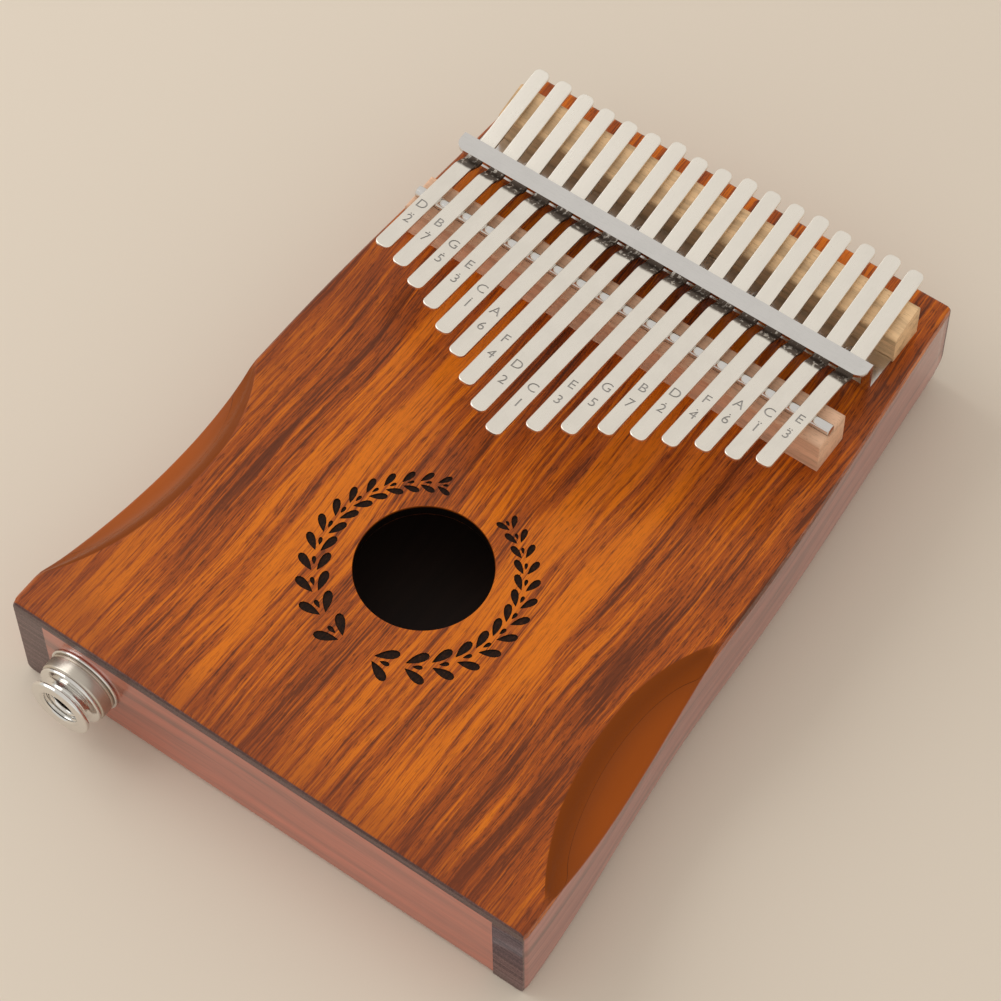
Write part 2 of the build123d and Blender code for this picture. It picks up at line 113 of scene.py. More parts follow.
class MbiraBox(bpy.types.PropertyGroup):
    """Sizes and colours of the sound box."""

    corner: length("Top edge radius", 1.2, "Radius of the box's top edges")
    side_back: length("Side back radius", 7.0, "Full radius of the two long back edges")
    side_back_growth: length("Side back growth", 50.0, "Length in which that radius grows from nothing")
    side_back_start: FloatProperty(
        name="Side back start", description="Part of that radius which is there at the tail", default=0.2
    )
    tail_back: length("Tail back radius", 0.5, "Radius of the sides' back edges at the tail")
    head_back: length("Head back radius", 3.5, "Radius of the sides' back edges at the head")
    scoop_middle: length("Scoop middle", 44.0, "Distance of the scoops' middle from the tail")
    scoop_half: length("Scoop half length", 36.0, "Half the length of each arm scoop")
    scoop_radius: length("Scoop radius", 16.0, "Radius of the scooping spindle in its middle")
    scoop_outward: length("Scoop axis outward", 5.1, "Distance of the spindle's axis from the side")
    scoop_lift: length("Scoop axis lift", 7.2, "Height of the spindle's axis above the top")
    scoop_hollow: length("Scoop hollow", 1.7, "How far a scoop is hollowed below a flat facet")
    scoop_upper: length("Upper scoop softness", 2.6, "How far the scoop's upper edge is sanded over")
    scoop_lower: length("Lower scoop softness", 1.2, "How far the scoop's lower edge is sanded over")
    hole_middle: length("Soundhole middle", 58.0, "Distance of the soundhole's middle from the tail")
    hole_radius: length("Soundhole radius", 15.4, "Radius of the soundhole")
    side_wall: length("Side wall", 8.0, "Thickness of the sides")
    engraving: length("Engraving depth", 0.3, "Depth of the wreath burnt into the soundboard")
    wreath_tail: length("Wreath radius at the tail", 24.6, "Radius of the wreath's stem at its foot")
    wreath_head: length("Wreath radius at the head", 21.2, "Radius of the wreath's stem at its tips")
    light_wood: paint("Light figure", rgb(222, 118, 14), "Bright figure of the soundboard")
    warm_wood: paint("Warm figure", rgb(170, 80, 20), "Middle tone of the soundboard")
    dark_wood: paint("Dark figure", rgb(112, 52, 20), "Dark streaks of the soundboard")
    scoop_wood: paint("Scooped wood", rgb(156, 74, 8), "Smooth wood inside the arm scoops")
    side_wood: paint("Side wood", rgb(162, 98, 88), "Lacquered wood of the sides")
    panel_wood: paint("End panel wood", rgb(176, 84, 58), "Lacquered wood of the two end panels")
    end_grain: paint("End grain", rgb(102, 78, 76), "End grain at the tail and the head")
    # Painted shade: the dark colour of the soundhole's wall and the board's underside, inside the box.
    shade: paint("Unlit wood", rgb(14, 9, 7), "Stained wood inside the soundhole")
    block_light: paint("Block wood", rgb(196, 158, 112), "Raw wood of the block inside")
    block_dark: paint("Block figure", rgb(150, 108, 70), "Darker rings of the block inside")


class MbiraTines(bpy.types.PropertyGroup):
    """Sizes and colours of the tines and what holds them."""

    width: length("Width", 4.05, "Width of a tine")
    thickness: length("Thickness", 1.0, "Thickness of a tine")
    dip: length("Dip", 4.3, "Length over which a tine dips in front of the bracket's flange")
    tip_corner: length("Tip corner radius", 1.5, "Radius of a tine's corners at both ends")
    edge: length("Edge radius", 0.26, "Radius of a tine's long edges")
    rear_slope: FloatProperty(
        name="Rear slope", description="Rise of a tine behind the bracket", default=0.14
    )
    gap: length("Gap", 0.05, "Gap between a tine and what it bears on")
    sheet: length("Sheet", 1.0, "Thickness of the bracket's sheet")
    web: length("Web", 4.6, "Distance of the bracket's web behind its flange's front edge")
    held: length("Held length", 1.2, "How far behind its split a tine starts to bend when it is plucked")
    flexing: length("Flexing length", 3.5, "How far in front of its split a plucked tine is straight again")
    stamp_size: length("Stamp size", 2.7, "Height of a stamped letter")
    stamp_depth: length("Stamp depth", 0.14, "Depth of a stamped letter")
    steel: paint("Tine steel", rgb(248, 242, 232), "Satin steel of the tines")
    # Painted reflection: the dark colour where a tine dips under the bracket's flange.
    dipped: paint("Dipped steel", rgb(64, 46, 32), "Dark steel where a tine dips under the flange")
    bright: paint("Bright steel", rgb(226, 224, 222), "Polished steel of the bracket and the rod")
    # Dull steel at the stamp's foot, darkened further as painted shade in the recess.
    stamped: paint("Stamped steel", rgb(186, 182, 178), "Dull steel at the foot of a stamped letter")
    front_wood: paint("Front bridge wood", rgb(238, 192, 158), "Wood of the front bridge")
    rear_wood: paint("Rear bridge wood", rgb(238, 198, 150), "Wood of the rear bridge")


class MbiraJack(bpy.types.PropertyGroup):
    """Sizes and colours of the jack and the pickup."""

    facets: IntProperty(name="Facets", description="Facets round a turned piece", default=72)
    thread_pitch: length("Thread pitch", 0.8, "Distance from one thread to the next")
    thread_depth: length("Thread depth", 0.28, "Depth of the threads")
    nickel: paint("Nickel", rgb(232, 230, 226), "Polished nickel")
    satin: paint("Satin nickel", rgb(206, 198, 186), "Turned satin nickel")
    plastic: paint("Insulator", rgb(26, 26, 28), "Moulded insulator and clips")
    bronze: paint("Contact bronze", rgb(196, 142, 84), "Bronze of the spring and the lugs")
    brass: paint("Pickup brass", rgb(214, 180, 98), "Brass of the pickup disc")
    jacket: paint("Lead jacket", rgb(40, 38, 40), "Jacket of the lead")


class MbiraStage(bpy.types.PropertyGroup):
    """Floor, lights and camera."""

    floor: paint("Floor", rgb(226, 214, 198), "Plain pale floor")
    floor_radius: length("Floor radius", 4000.0, "Radius of the floor")
    sky: paint("Surroundings", rgb(250, 246, 240), "Plain pale surroundings")
    sky_strength: FloatProperty(
        name="Surroundings strength", description="Light of the surroundings", default=0.76
    )
    key_power: FloatProperty(name="Key power", description="Power of the main lamp, in watts", default=4.5)
    fill_power: FloatProperty(name="Fill power", description="Power of the low lamp, in watts", default=0.8)
    key_size: FloatProperty(name="Key size", description="Width of the main lamp, in metres", default=0.9)
    fill_size: FloatProperty(name="Fill size", description="Width of the low lamp, in metres", default=1.2)
    lens: FloatProperty(
        name="Lens", description="Focal length on a 36 mm sensor, in millimetres", default=125.0
    )
    key_place: position("Key place", (-0.9, -0.1, 0.75), "Where the main lamp hangs")
    fill_place: position("Fill place", (0.9, -0.9, 0.7), "Where the low lamp hangs")
    camera_place: position("Camera place", (0.2361, -0.3197, 0.6816), "Where the camera stands")
    camera_turn: FloatVectorProperty(
        name="Camera turn", description="How the camera is turned",
        default=tuple(math.radians(angle) for angle in (30.98, 0.5, 35.61)), size=3, subtype="EULER",
    )


# ---- Shader expressions ----
class Value:
    """One number in a material. Expressions on it add Math nodes."""

    def __init__(self, finish, socket):
        self.finish = finish
        self.socket = socket

    def math(self, operation, *others):
        return self.finish.math(operation, self, *others)

    def __add__(self, other):
        return self.finish.math("ADD", self, other)

    def __radd__(self, other):
        return self.finish.math("ADD", other, self)

    def __sub__(self, other):
        return self.finish.math("SUBTRACT", self, other)

    def __rsub__(self, other):
        return self.finish.math("SUBTRACT", other, self)

    def __mul__(self, other):
        return self.finish.math("MULTIPLY", self, other)

    def __rmul__(self, other):
        return self.finish.math("MULTIPLY", other, self)

    def __truediv__(self, other):
        return self.finish.math("DIVIDE", self, other)

    def __rtruediv__(self, other):
        return self.finish.math("DIVIDE", other, self)


class Finish:
    """A material and the nodes that give it its look."""

    def __init__(self, name, **shader):
        self.material = bpy.data.materials.new(name)
        self.material.use_nodes = True
        self.tree = self.material.node_tree
        self.tree.nodes.clear()
        self.shader = self.node("ShaderNodeBsdfPrincipled")
        self.node("ShaderNodeOutputMaterial", Surface=self.shader.outputs["BSDF"])
        self.set(**shader)
        coordinates = self.node("ShaderNodeTexCoord").outputs["Object"]
        self.place = self.vector_math("SCALE", coordinates, Scale=1 / MM)
        parts = self.node("ShaderNodeSeparateXYZ", Vector=self.place)
        self.x, self.y, self.z = (Value(self, parts.outputs[axis]) for axis in "XYZ")

    def node(self, kind, settings=None, stops=None, **sockets):
        """Add a node: its settings, then its ramp's stops, then its sockets' values or links."""
        made = self.tree.nodes.new(kind)
        for name, value in (settings or {}).items():
            setattr(made, name, value)
        if stops:
            elements = made.color_ramp.elements
            while len(elements) < len(stops):
                elements.new(0.5)
            for element, (position, shade) in zip(elements, sorted(stops)):
                element.position = position
                element.color = (*shade, 1.0) if hasattr(shade, "__len__") else (shade, shade, shade, 1.0)
        for name, value in sockets.items():
            self.feed(made.inputs, name.replace("_", " "), value)
        return made

    def feed(self, inputs, name, value):
        """Link a socket or set its value; sockets that share a name are told apart by a number."""
        socket = inputs[int(name)] if name.isdigit() else inputs[name]
        if isinstance(value, Value):
            value = value.socket
        if isinstance(value, bpy.types.NodeSocket):
            self.tree.links.new(value, socket)
        elif socket.type == "RGBA" and len(value) == 3:
            socket.default_value = (*value, 1.0)
        else:
            socket.default_value = value

    def set(self, **sockets):
        """Set or link the shader's own sockets."""
        for name, value in sockets.items():
            self.feed(self.shader.inputs, name.replace("_", " "), value)

    def math(self, operation, *values):
        made = self.node("ShaderNodeMath", {"operation": operation})
        for number, value in enumerate(values):
            self.feed(made.inputs, str(number), value)
        return Value(self, made.outputs["Value"])

    def vector_math(self, operation, *vectors, **sockets):
        made = self.node("ShaderNodeVectorMath", {"operation": operation}, **sockets)
        for number, vector in enumerate(vectors):
            self.feed(made.inputs, str(number), vector)
        return made.outputs["Vector"]

    def vector(self, x, y, z):
        return self.node("ShaderNodeCombineXYZ", X=x, Y=y, Z=z).outputs["Vector"]

    def stretched(self, x, y, z):
        """The place on the piece in millimetres, with each axis multiplied."""
        return self.vector_math("MULTIPLY", self.place, (x, y, z))

    def noise(self, vector, scale=1.0, detail=2.0, roughness=0.5, distortion=0.0):
        made = self.node(
            "ShaderNodeTexNoise", Vector=vector, Scale=scale, Detail=detail,
            Roughness=roughness, Distortion=distortion,
        )
        return Value(self, made.outputs["Fac"])

    def step(self, value, low, high):
        """A smooth step from 0 at low to 1 at high."""
        made = self.node(
            "ShaderNodeMapRange", {"interpolation_type": "SMOOTHSTEP"},
            Value=value, From_Min=low, From_Max=high,
        )
        return Value(self, made.outputs["Result"])

    def ramp(self, value, stops):
        return self.node("ShaderNodeValToRGB", stops=stops, Fac=value).outputs["Color"]

    def mix(self, factor, below, above, blend="MIX"):
        """Mix two colours."""
        made = self.node("ShaderNodeMix", {"data_type": "RGBA", "blend_type": blend})
        for number, value in ((0, factor), (6, below), (7, above)):
            self.feed(made.inputs, str(number), value)
        return made.outputs[2]

    def bump(self, height, strength, distance):
        """Relief of that depth, in millimetres."""
        made = self.node("ShaderNodeBump", Height=height, Strength=strength, Distance=distance * MM)
        return made.outputs["Normal"]

    def reach(self, x, y, z):
        """Length of a vector."""
        arrow = self.vector(x, y, z)
        made = self.node("ShaderNodeVectorMath", {"operation": "LENGTH"}, **{"0": arrow})
        return Value(self, made.outputs["Value"])


def mixed(first, second, amount):
    """A colour part of the way from one to another."""
    return tuple(a + (b - a) * amount for a, b in zip(first, second))


def darker(colour, amount):
    """A colour multiplied."""
    return tuple(part * amount for part in colour)


# ---- Shapes ----
def rounded(corners, softness, steps):
    """An open line of corners, with each inner corner turned into a smooth bend of so many steps."""
    points = [Vector(corners[0])]
    for number, reach in enumerate(softness, 1):
        before, corner, after = (Vector(corners[number + shift]) for shift in (-1, 0, 1))
        limit = 0.4999 * min((corner - before).length, (after - corner).length)
        start = corner + (before - corner).normalized() * min(reach, limit)
        end = corner + (after - corner).normalized() * min(reach, limit)
        for step in range(steps + 1):
            part = step / steps
            points.append(start.lerp(corner, part).lerp(corner.lerp(end, part), part))
    points.append(Vector(corners[-1]))
    return points


def finished(name, bm, node_names, materials, body="sound_box"):
    """Turn a bmesh in millimetres into a piece that rides on a body and stands for CAD nodes."""
    bmesh.ops.scale(bm, vec=(MM, MM, MM), verts=bm.verts)
    mesh = bpy.data.meshes.new(name)
    bm.to_mesh(mesh)
    bm.free()
    piece = bpy.data.objects.new(name, mesh)
    bpy.context.scene.collection.objects.link(piece)
    for material in materials:
        mesh.materials.append(material)
    if body:
        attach(piece, body)
    if node_names:
        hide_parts(*node_names)
    return piece


def smooth(piece, angle=30.0, weighted=True):
    """Shade a piece smoothly, apart from edges sharper than the angle."""
    mesh = piece.data
    mesh.polygons.foreach_set("use_smooth", [True] * len(mesh.polygons))
    mesh.set_sharp_from_angle(angle=math.radians(angle))
    if weighted:
        modifier = piece.modifiers.new("Even shading", "WEIGHTED_NORMAL")
        modifier.keep_sharp = True
    return piece


def cut(piece, cutter, operation="DIFFERENCE"):
    """Cut one piece with another, which is then removed."""
    modifier = piece.modifiers.new("Cut", "BOOLEAN")
    modifier.object = cutter
    modifier.operation = operation
    modifier.solver = "EXACT"
    modifier.material_mode = "TRANSFER"
    modifier.use_self = True
    graph = bpy.context.evaluated_depsgraph_get()
    mesh = bpy.data.meshes.new_from_object(piece.evaluated_get(graph), depsgraph=graph)
    piece.modifiers.clear()
    mesh.name = piece.data.name
    piece.data = mesh
    bpy.data.objects.remove(cutter)
    return piece


def closed(bm):
    """Fill every open edge loop and point the faces outwards."""
    bmesh.ops.remove_doubles(bm, verts=bm.verts, dist=1e-4)
    bmesh.ops.holes_fill(bm, edges=[edge for edge in bm.edges if edge.is_boundary])
    bmesh.ops.recalc_face_normals(bm, faces=bm.faces)
    return bm


def everything(bm):
    return bm.verts[:] + bm.edges[:] + bm.faces[:]


def turned(profile, axis_x, axis_z, facets):
    """Spin a closed profile of (radius, y) points round a line along Y."""
    bm = bmesh.new()
    verts = [bm.verts.new((axis_x + radius, y, axis_z)) for radius, y in profile]
    edges = [bm.edges.new(pair) for pair in zip(verts, verts[1:] + verts[:1])]
    bmesh.ops.spin(
        bm, geom=verts + edges, cent=(axis_x, 0, axis_z), axis=(0, 1, 0), angle=math.tau,
        steps=facets, use_merge=True,
    )
    bmesh.ops.remove_doubles(bm, verts=bm.verts, dist=1e-4)
    bmesh.ops.recalc_face_normals(bm, faces=bm.faces)
    return bm


def peg(bm, x, y, z0, z1, radius, facets=24):
    """Add an upright round bar to a bmesh."""
    bmesh.ops.create_cone(
        bm, cap_ends=True, segments=facets, radius1=radius, radius2=radius, depth=z1 - z0,
        matrix=Matrix.Translation((x, y, (z0 + z1) / 2)),
    )


# ---- Sound box ----
def outer_wall():
    """Distances along the right side and the wall's distance from the middle there."""
    level = bpy.context.scene.mbira_box.side_back
    places = {}
    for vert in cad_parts["side_right"].data.vertices:
        point = vert.co / MM
        if abs(point.z - level) < 0.01:
            key = round(point.y, 3)
            places[key] = max(point.x, places.get(key, 0.0))
    return sorted(places.items())


def half_width(wall, y):
    """Half width of the box at a distance, between two of the wall's places."""
    number = min(max(bisect_right(wall, (y, 1e9)), 1), len(wall) - 1)
    (y0, x0), (y1, x1) = wall[number - 1], wall[number]
    return x0 + (x1 - x0) * min(max((y - y0) / (y1 - y0), 0.0), 1.0)


def eased(distance, radius):
    """How far a quarter round of that radius has fallen back at a distance from its end."""
    run = radius - min(distance, radius)
    return radius - math.sqrt(radius * radius - run * run)


def larger(first, second, softness):
    """The larger of two numbers, with the change from one to the other made gradual."""
    return (first + second + math.sqrt((first - second) ** 2 + softness**2)) / 2


def scoop_reach(box, y):
    """How far a scoop reaches in over the top, down the side and below a flat facet at a distance."""
    end_radius = math.hypot(box.scoop_outward, box.scoop_lift)
    sag = box.scoop_radius - end_radius
    arc = (box.scoop_half**2 + sag**2) / (2 * sag)
    off = min(abs(y - TAIL - box.scoop_middle), box.scoop_half)
    radius = box.scoop_radius - arc + math.sqrt(arc**2 - off**2)
    inward = math.sqrt(radius**2 - box.scoop_lift**2) - box.scoop_outward
    down = math.sqrt(radius**2 - box.scoop_outward**2) - box.scoop_lift
    return max(inward, 0.0), max(down, 0.0), box.scoop_hollow * (radius - end_radius) / sag


def half_section(box, wall, y):
    """Right half of the box's cross-section, from the middle of the top to the middle of the back."""
    from_end = min(y - TAIL, HEAD - y)
    half = half_width(wall, y)
    top = TOP - eased(from_end, box.corner)
    low = max(eased(y - TAIL, box.tail_back), eased(HEAD - y, box.head_back))
    quarter = 2 - math.sqrt(2)
    gradual = 0.3
    inward, down, hollow = scoop_reach(box, y)
    inward = larger(inward, quarter * box.corner, gradual)
    down = larger(down, quarter * box.corner, gradual)
    facet = (half - inward / 2 - hollow * 0.66, top - down / 2 - hollow * 0.75)
    back = box.side_back * min(1.0, box.side_back_start + (y - TAIL) / box.side_back_growth)
    under = quarter * back
    corners = [
        (0, top), (half - inward, top), facet, (half, top - down), (half, low + under),
        (half - under, low), (0, low),
    ]
    softness = [box.scoop_upper, box.scoop_radius, box.scoop_lower, back, back]
    return rounded(corners, softness, 6)


def stations():
    """Distances at which the box's cross-section is taken, closer together at the ends."""
    corner = 6.0
    turns = 12
    steps = 90
    ends = [corner * (1 - math.cos(math.pi / 2 * turn / turns)) for turn in range(turns + 1)]
    between = HEAD - TAIL - 2 * corner
    inner = [TAIL + corner + between * step / steps for step in range(1, steps)]
    return [TAIL + end for end in ends] + inner + [HEAD - end for end in reversed(ends)]


def box_skin(box):
    """The whole box as one closed shape, with its soft scoops and rounded edges."""
    wall = outer_wall()
    sections = [(y, half_section(box, wall, y)) for y in stations()]
    columns = len(sections[0][1])
    bm = bmesh.new()
    bmesh.ops.create_grid(bm, x_segments=columns - 1, y_segments=len(sections) - 1, size=1.0)
    for vert in bm.verts:
        column = round((vert.co.x + 1) / 2 * (columns - 1))
        y, section = sections[round((vert.co.y + 1) / 2 * (len(sections) - 1))]
        x, z = section[column]
        vert.co = (x, y, z)
    bmesh.ops.mirror(bm, geom=everything(bm), axis="X", merge_dist=1e-4)
    return closed(bm)


def inner_prism(box):
    """The room between the two sides, longer than the box at both ends."""
    wall = outer_wall()
    beyond = 5.0
    tail_corner, head_corner = 4.0, 7.0
    straight = [y for y, _ in wall if TAIL + tail_corner < y < HEAD - head_corner]
    bm = bmesh.new()
    right = [(half_width(wall, y) - box.side_wall, y) for y in straight]
    right = [(SIDE_INNER_TAIL, TAIL - beyond), (SIDE_INNER_TAIL, TAIL)] + right
    head_half = span("head_panel")[1].x
    right += [(head_half, HEAD), (head_half, HEAD + beyond)]
    outline = right + [(-x, y) for x, y in reversed(right)]
    face = bm.faces.new([bm.verts.new((x, y, -beyond)) for x, y in outline])
    walls = bmesh.ops.extrude_face_region(bm, geom=[face], use_keep_orig=True)
    raised = [item for item in walls["geom"] if isinstance(item, bmesh.types.BMVert)]
    bmesh.ops.translate(bm, vec=(0, 0, UNDERSIDE + 2 * beyond), verts=raised)
    bmesh.ops.recalc_face_normals(bm, faces=bm.faces)
    return finished("room", bm, (), (), body=None)


def leaf(bm, x, y, heading, size, width):
    """Add one pointed leaf to the engraving cutter, its foot at (x, y) and its point along the heading."""
    made = bmesh.ops.create_circle(bm, cap_ends=True, segments=14, radius=0.5)
    verts = made["verts"]
    fullness = 2.6
    for vert in verts:
        along = vert.co.x + 0.5
        teardrop = fullness * along * math.sqrt(1 - along) if 0 < along < 1 else 0.0
        side = math.copysign(1.0, vert.co.y) if abs(vert.co.y) > 1e-6 else 0.0
        vert.co = (along * size, side * teardrop * width / 2, 0)
    depth = bpy.context.scene.mbira_box.engraving
    above = 1.0
    faces = list({face for vert in verts for face in vert.link_faces})
    raised = bmesh.ops.extrude_face_region(bm, geom=faces, use_keep_orig=True)
    upper = [item for item in raised["geom"] if isinstance(item, bmesh.types.BMVert)]
    bmesh.ops.translate(bm, vec=(0, 0, depth + above), verts=upper)
    place = Matrix.Translation((x, y, TOP - depth)) @ Matrix.Rotation(heading, 4, "Z")
    bmesh.ops.transform(bm, matrix=place, verts=verts + upper)


def wreath_cutter(box, material):
    """Two laurel branches round the soundhole, as the bodies that are burnt out of the soundboard."""
    middle = TAIL + box.hole_middle
    pairs = 13
    crowding = 0.86
    first, last = math.radians(-80), math.radians(62)
    foot_leaf, shortening, leaf_width = 5.7, 2.2, 0.4
    outer_lean, inner_lean, stalk = -0.6, 0.52, 0.11
    bud_length, bud_width, bud_ahead = 0.42, 0.2, 0.28
    bm = bmesh.new()
    for side in (-1, 1):
        for pair in range(pairs):
            part = pair / (pairs - 1)
            angle = first + (last - first) * part**crowding
            radius = box.wreath_tail + (box.wreath_head - box.wreath_tail) * part
            x, y = side * radius * math.cos(angle), middle + radius * math.sin(angle)
            grow = math.atan2(math.cos(angle), -side * math.sin(angle))
            size = foot_leaf - shortening * part
            for lean in (outer_lean, inner_lean):
                across = grow + math.copysign(math.pi / 2, lean)
                away = Vector((math.cos(across), math.sin(across))) * stalk * size
                leaf(bm, x + away.x, y + away.y, grow + lean, size, leaf_width * size)
            ahead = Vector((math.cos(grow), math.sin(grow))) * bud_ahead * size
            leaf(bm, x + ahead.x, y + ahead.y, grow, bud_length * size, bud_width * size)
    bmesh.ops.recalc_face_normals(bm, faces=bm.faces)
    return finished("wreath_cutter", bm, (), (material,), body=None)


def hole_cutter(box, material):
    """The soundhole, with its slightly broken rims, and the four screw holes."""
    middle = TAIL + box.hole_middle
    radius = box.hole_radius
    broken = 0.35
    beyond = 2.0
    screw_hole = 1.3
    corners = [
        (radius + beyond, TOP + beyond), (radius + broken, TOP + broken), (radius, TOP - broken),
        (radius, UNDERSIDE + broken), (radius + broken, UNDERSIDE - broken),
        (radius + beyond, UNDERSIDE - beyond),
    ]
    profile = rounded(corners, [0.4, 0.4, 0.4, 0.4], 4)
    bm = bmesh.new()
    verts = [bm.verts.new((distance, middle, z)) for distance, z in profile]
    edges = [bm.edges.new(pair) for pair in zip(verts, verts[1:])]
    bmesh.ops.spin(
        bm, geom=verts + edges, cent=(0, middle, 0), axis=(0, 0, 1), angle=math.tau,
        steps=128, use_merge=True,
    )
    closed(bm)
    for x, y in screw_places():
        peg(bm, x, y, UNDERSIDE - beyond, TOP + beyond, screw_hole)
    return finished("hole_cutter", bm, (), (material,), body=None)


def screw_places():
    """Where the bracket's screws stand, from the middles of their CAD meshes."""
    shank_depth = 5.0
    apart = 5.0
    verts = [vert.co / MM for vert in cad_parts["bracket_screws"].data.vertices]
    shanks = sorted(point.x for point in verts if point.z < UNDERSIDE - shank_depth)
    groups = [[shanks[0]]]
    for x in shanks[1:]:
        if x - groups[-1][-1] > apart:
            groups.append([])
        groups[-1].append(x)
    low, high = span("bracket_screws")
    return [((group[0] + group[-1]) / 2, (low.y + high.y) / 2) for group in groups]


class MBIRA_OT_soundboard(bpy.types.Operator):
    """Soundboard with soft scoops, the soundhole and the burnt laurel wreath"""

    bl_idname = "mbira.soundboard"
    bl_label = "Soundboard"

    def execute(self, context):
        box = context.scene.mbira_box
        koa = koa_finish(box)
        char = char_finish(box)
        bm = box_skin(box)
        bmesh.ops.bisect_plane(
            bm, geom=everything(bm), plane_co=(0, 0, UNDERSIDE), plane_no=(0, 0, 1), clear_inner=True
        )
        closed(bm)
        board = finished("figured_soundboard", bm, ["soundboard"], (koa, char))
        cut(board, hole_cutter(box, koa))
        cut(board, wreath_cutter(box, char))
        smooth(board)
        return {"FINISHED"}


class MBIRA_OT_sides(bpy.types.Operator):
    """Left and right sides, scooped with the soundboard"""

    bl_idname = "mbira.sides"
    bl_label = "Sides"

    def execute(self, context):
        box = context.scene.mbira_box
        wood = side_finish(box)
        for node, sign in (("side_left", -1), ("side_right", 1)):
            bm = box_skin(box)
            bmesh.ops.bisect_plane(
                bm, geom=everything(bm), plane_co=(0, 0, UNDERSIDE), plane_no=(0, 0, 1), clear_outer=True
            )
            bmesh.ops.bisect_plane(
                bm, geom=everything(bm), plane_co=(0, 0, 0), plane_no=(sign, 0, 0), clear_inner=True
            )
            closed(bm)
            side = finished(f"scooped_{node}", bm, [node], (wood,))
            cut(side, inner_prism(box))
            smooth(side)
        return {"FINISHED"}


class MBIRA_OT_panels(bpy.types.Operator):
    """Finish of the tail panel, the head panel, the back and the block inside"""

    bl_idname = "mbira.panels"
    bl_label = "Panels"

    def execute(self, context):
        box = context.scene.mbira_box
        panel = panel_finish(box)
        dress("tail_panel", panel)
        dress("head_panel", panel)
        dress("back_plate", back_finish(box))
        dress("screw_block", plain_wood("block_wood", box.block_light, box.block_dark))
        return {"FINISHED"}


def dress(node, material):
    """Give a CAD node's own mesh a finish."""
    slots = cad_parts[node].material_slots
    for slot in slots:
        slot.material = material


# ---- Wood finishes ----
def scooped(finish, box, colour, sheen):
    """Blend a colour and its dullness into the smooth wood of the scoops, where the surface leans; the
    scoop wood gets painted shade, darker towards its upper edge.
    """
    normal = finish.node("ShaderNodeNewGeometry").outputs["Normal"]
    upward = Value(finish, finish.node("ShaderNodeSeparateXYZ", Vector=normal).outputs["Z"])
    off = (finish.y - (TAIL + box.scoop_middle)).math("ABSOLUTE")
    within = finish.step(off, box.scoop_half + 1.0, box.scoop_half - 4.0)
    leaning = finish.step(upward, 0.998, 0.975) * finish.step(upward, 0.1, 0.3)
    mask = within * leaning * finish.step(finish.z, TOP - 13.0, TOP - 11.0)
    drift = finish.noise(finish.stretched(0.25, 0.05, 0.25), detail=2.0)
    # Painted shade: the scoop wood is darker towards the scoop's upper edge and lighter lower down.
    depth = finish.step(finish.z, TOP, TOP - 8.0)
    shaded_scoop_wood = finish.mix(depth, darker(box.scoop_wood, 0.62), darker(box.scoop_wood, 1.15))
    shaded_scoop_wood = finish.mix(drift * 0.4, shaded_scoop_wood, darker(box.scoop_wood, 0.7))
    return finish.mix(mask, colour, shaded_scoop_wood), sheen * (1 - mask * 0.9)


def koa_finish(box):
    """Glossy figured wood with streaks along the board, darker at the left edge and the tail."""
    finish = Finish("koa_top", Coat_Roughness=0.24, Coat_IOR=1.5, Specular_IOR_Level=0.1)
    drift = finish.noise(finish.stretched(0.022, 0.011, 0.022), detail=1.0) - 0.5
    waver = finish.noise(finish.stretched(0.12, 0.035, 0.12), detail=2.0) - 0.5
    across = finish.x + 11.0 * drift + 1.5 * waver
    bands = finish.noise(finish.vector(across * 0.1, finish.y * 0.006, finish.z * 0.02), detail=1.5)
    streaks = finish.noise(
        finish.vector(across * 0.62, finish.y * 0.02, finish.z * 0.1), detail=3.5, roughness=0.66
    )
    lines = finish.noise(
        finish.vector(across * 2.3, finish.y * 0.05, finish.z * 0.4), detail=2.5, roughness=0.7
    )
    pores = finish.noise(
        finish.vector(across * 3.4, finish.y * 0.3, finish.z * 1.5), detail=2.0, roughness=0.65
    )
    pore = finish.step(pores, 0.53, 0.62)
    tone = bands * 0.3 + streaks * 0.42 + lines * 0.28 + 0.008
    figure = finish.ramp(tone, [
        (0.37, darker(box.dark_wood, 0.8)), (0.43, box.dark_wood),
        (0.465, mixed(box.dark_wood, box.warm_wood, 0.7)), (0.5, box.warm_wood),
        (0.55, mixed(box.warm_wood, box.light_wood, 0.75)), (0.61, box.light_wood),
    ])
    streak = finish.step(streaks, 0.4, 0.33) * finish.step(lines, 0.6, 0.42)
    figure = finish.mix(streak * 0.7, figure, darker(box.dark_wood, 0.62))
    thread = finish.step(lines, 0.42, 0.33)
    figure = finish.mix(thread * 0.45, figure, box.dark_wood)
    open_grain = pore * (0.25 + finish.step(tone, 0.58, 0.46) * 0.5)
    figure = finish.mix(open_grain, figure, darker(box.dark_wood, 0.6))
    edge = finish.step(finish.x, -40.0, -68.0) + finish.step(finish.y, TAIL + 16, TAIL)
    figure = finish.mix(edge.math("MINIMUM", 1.0) * 0.45, figure, rgb(120, 54, 26))
    figure, sheen = scooped(finish, box, figure, 0.32)
    end = finish.step(finish.y, TAIL + 0.5, TAIL + 0.2) + finish.step(finish.y, HEAD - 0.5, HEAD - 0.2)
    stained_end = finish.mix(0.35, end_grain(finish, box), rgb(50, 28, 24))
    figure = finish.mix(end.math("MINIMUM", 1.0), figure, stained_end)
    # Painted shade on the soundhole's wall and on the board's underside, inside the box.
    from_hole = finish.reach(finish.x, finish.y - (TAIL + box.hole_middle), 0.0)
    bored = finish.step(from_hole, box.hole_radius + 0.12, box.hole_radius + 0.02)
    below = finish.step(finish.z, UNDERSIDE + 0.1, UNDERSIDE)
    inside = (bored + below * 0.8).math("MINIMUM", 1.0)
    figure = finish.mix(inside, figure, box.shade)
    relief = finish.bump(pore * -1.0 + lines * 0.5, 0.16, 0.03)
    finish.set(
        Base_Color=figure, Roughness=0.36 + pore * 0.2, Coat_Weight=sheen * (1 - inside), Normal=relief
    )
    return finish.material


